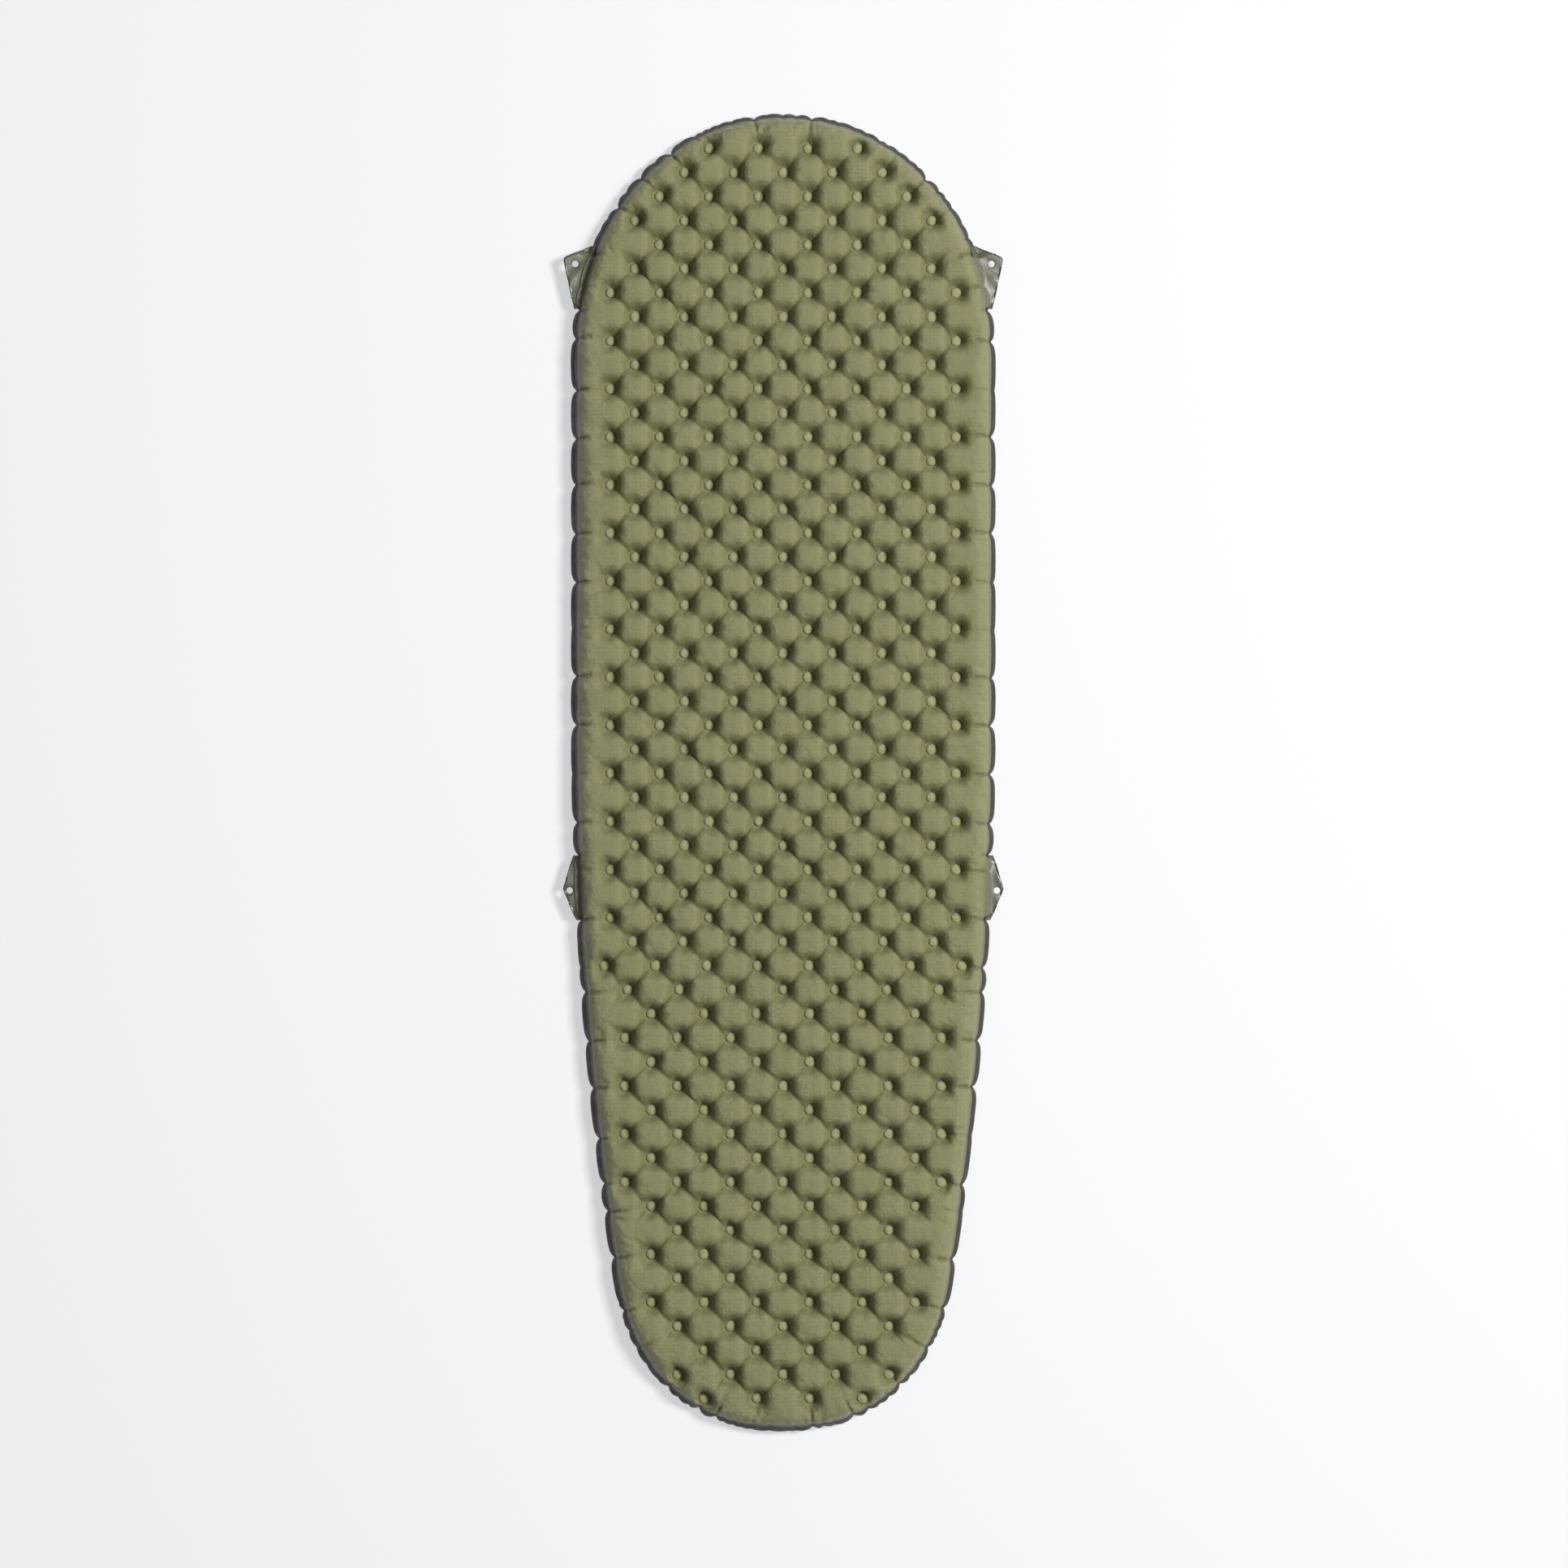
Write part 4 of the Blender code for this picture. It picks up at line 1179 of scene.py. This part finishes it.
# Valve, seals and the film inside.
valveValues = {
    "bevel": 0.00022,
    "bevelSteps": 2,
    "sharpAngle": 35.0,          # degrees; softer joints than this keep no edge
    "flatAngle": 2.0,            # degrees; faces this even are joined before rounding
    "joinDistance": 0.000002,
    "base": ((0.024, 0.025, 0.024), (0.060, 0.061, 0.058)),    # each colour and its rubbed shade
    "plug": ((0.036, 0.038, 0.035), (0.085, 0.087, 0.080)),
    "cap": ((0.125, 0.118, 0.020), (0.200, 0.190, 0.050)),
    "seal": ((0.185, 0.187, 0.180), (0.260, 0.262, 0.250)),
    "foil": ((0.62, 0.62, 0.64), (0.80, 0.80, 0.82)),
}


def softened(name, node, body, finish):
    # the plain moulding with its edges rounded over
    work = bmesh.new()
    work.from_mesh(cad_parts[node].data)
    bmesh.ops.remove_doubles(work, verts=work.verts, dist=valveValues["joinDistance"])
    even = math.radians(valveValues["flatAngle"])
    bmesh.ops.dissolve_limit(work, angle_limit=even, verts=work.verts, edges=work.edges)
    mesh = bpy.data.meshes.new(name)
    work.to_mesh(mesh)
    work.free()
    rough = addObject(name + "_plain", mesh)
    edge = rough.modifiers.new("edge", "BEVEL")
    edge.width = valveValues["bevel"]
    edge.segments = valveValues["bevelSteps"]
    edge.limit_method = "ANGLE"
    edge.angle_limit = math.radians(valveValues["sharpAngle"])
    done = evaluatedMesh(rough)
    bpy.data.objects.remove(rough)
    done.materials.clear()
    done.shade_smooth()
    done.set_sharp_from_angle(angle=math.radians(valveValues["sharpAngle"]))
    piece = addObject(name, done, [finish])
    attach(piece, body)
    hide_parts(node)


def mouldedMaterial(name, color, worn, roughness, grain, sockets=None):
    # moulded plastic or rubber: fine grain, faint scuffs, lighter in scattered scuffed patches
    item, tree, shader = newMaterial(name, roughness, sockets)
    uneven = placeGroup(tree, tone, {"Size": 0.008, "Scuff Size": grain})
    rubbed = ramped(tree, uneven.outputs["Scuff"], 0.52, 0.72, 0.0, 0.7)
    tree.links.new(mixColor(tree, rubbed, color, worn), shader.inputs["Base Color"])
    tree.links.new(ramped(tree, uneven.outputs["Tone"], 0.3, 0.7, roughness - 0.06, roughness + 0.08),
                   shader.inputs["Roughness"])
    tree.links.new(bumpFrom(tree, uneven.outputs["Scuff"], 0.00006), shader.inputs["Normal"])
    return item


def foilMaterial():
    # crinkled metallised film
    item, tree, shader = newMaterial("crinkledFoil", 0.24)
    shader.inputs["Metallic"].default_value = 0.9
    uneven = placeGroup(tree, tone, {"Size": 0.020, "Scuff Size": 0.0035})
    tree.links.new(mixColor(tree, uneven.outputs["Tone"], *valveValues["foil"]),
                   shader.inputs["Base Color"])
    tree.links.new(ramped(tree, uneven.outputs["Scuff"], 0.3, 0.7, 0.16, 0.34),
                   shader.inputs["Roughness"])
    tree.links.new(bumpFrom(tree, uneven.outputs["Scuff"], 0.0009), shader.inputs["Normal"])
    return item


def coat(node, finish):
    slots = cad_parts[node].material_slots
    if not slots:
        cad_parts[node].data.materials.append(finish)
    for place in slots:
        place.material = finish


blackTpu = mouldedMaterial("blackTpu", *valveValues["base"], 0.42, 0.0009)
lidTpu = mouldedMaterial("charcoalTpu", *valveValues["plug"], 0.38, 0.0008)
capTpu = mouldedMaterial("capTpu", *valveValues["cap"], 0.36, 0.0008)
silicone = mouldedMaterial("greySilicone", *valveValues["seal"], 0.50, 0.0006, {"Coat Weight": 0.1})
foil = foilMaterial()
softened("valve_base_moulding", "valve_base", "pad", blackTpu)
softened("dump_plug_moulding", "dump_plug", "plug", lidTpu)
softened("inflation_cap_moulding", "inflation_cap", "cap", capTpu)
for node, finish in (("insulating_film", foil), ("valve_backing_ring", tabFilm),
                     ("plug_strap", blackTpu), ("cap_strap", capTpu), ("plug_seal", silicone),
                     ("cap_seal", silicone), ("check_flap", silicone), ("flap_pin", blackTpu)):
    coat(node, finish)
print("valve made")


# Floor, light and camera.
stageValues = {
    "floorSize": 14.0,
    "floorColor": (0.22, 0.222, 0.226),
    "floorGlow": 0.58,
    "floorDrop": 0.0004,
    "keyTurn": 18.0,             # degrees from +X towards +Y
    "keyRise": 56.0,
    "keyDistance": 7.0,
    "keySize": 1.5,
    "keyPower": 800.0,
    "fillPower": 40.0,
    "fillHeight": 6.5,
    "fillSize": 2.5,
    "underPlace": (1.5, -1.0, -5.0),     # lights the underside, through the one-sided floor
    "underPower": 600.0,
    "worldStrength": 0.15,
    "lens": 100.0,
    "frameWidth": 2.1735,        # metres across the picture, at mid height of the pad
    "aim": (0.001, -0.016),      # middle of the picture, from the pad's middle
}


def areaLight(name, place, size, power, aim=(0.0, 0.0, 0.0)):
    data = bpy.data.lights.new(name, "AREA")
    data.size = size
    data.energy = power
    lamp = bpy.data.objects.new(name, data)
    lamp.location = place
    lamp.rotation_euler = (Vector(aim) - Vector(place)).to_track_quat("-Z", "Y").to_euler()
    bpy.context.scene.collection.objects.link(lamp)


def floorMaterial():
    # pale and faintly glowing from above, clear from below
    item, tree, shader = newMaterial("paleFloor", 0.9)
    shader.inputs["Base Color"].default_value = (*stageValues["floorColor"], 1.0)
    shader.inputs["Emission Color"].default_value = (0.975, 0.985, 1.0, 1.0)
    shader.inputs["Emission Strength"].default_value = stageValues["floorGlow"]
    clear = tree.nodes.new("ShaderNodeBsdfTransparent")
    sides = tree.nodes.new("ShaderNodeMixShader")
    facing = tree.nodes.new("ShaderNodeNewGeometry")
    tree.links.new(facing.outputs["Backfacing"], sides.inputs[0])
    tree.links.new(shader.outputs[0], sides.inputs[1])
    tree.links.new(clear.outputs[0], sides.inputs[2])
    tree.links.new(sides.outputs[0], tree.nodes["Material Output"].inputs["Surface"])
    return item


def makeStage():
    half = stageValues["floorSize"] / 2
    drop = -stageValues["floorDrop"]
    corners = [(-half, -half, drop), (half, -half, drop), (half, half, drop), (-half, half, drop)]
    addObject("floor", meshFrom("floor", corners, [(0, 1, 2, 3)]), [floorMaterial()])

    turn = math.radians(stageValues["keyTurn"])
    rise = math.radians(stageValues["keyRise"])
    away = stageValues["keyDistance"]
    key = (away * math.cos(rise) * math.cos(turn), away * math.cos(rise) * math.sin(turn),
           away * math.sin(rise))
    areaLight("key", key, stageValues["keySize"], stageValues["keyPower"])
    areaLight("overhead", (0.0, 0.0, stageValues["fillHeight"]), stageValues["fillSize"],
              stageValues["fillPower"])
    areaLight("underside", stageValues["underPlace"], stageValues["keySize"],
              stageValues["underPower"])
    world = bpy.data.worlds.new("studio")
    world.use_nodes = True
    background = world.node_tree.nodes["Background"]
    background.inputs["Color"].default_value = (1.0, 0.985, 0.91, 1.0)
    background.inputs["Strength"].default_value = stageValues["worldStrength"]
    bpy.context.scene.world = world
    bpy.context.scene.view_settings.view_transform = "Standard"

    data = bpy.data.cameras.new("camera")
    data.lens = stageValues["lens"]
    distance = stageValues["frameWidth"] * data.lens / data.sensor_width
    camera = bpy.data.objects.new("camera", data)
    low, high = cadBox
    aim = stageValues["aim"]
    camera.location = ((low.x + high.x) / 2 + aim[0], (low.y + high.y) / 2 + aim[1],
                       midPlane + distance)
    bpy.context.scene.collection.objects.link(camera)
    bpy.context.scene.camera = camera


makeStage()
print("floor, light and camera made")
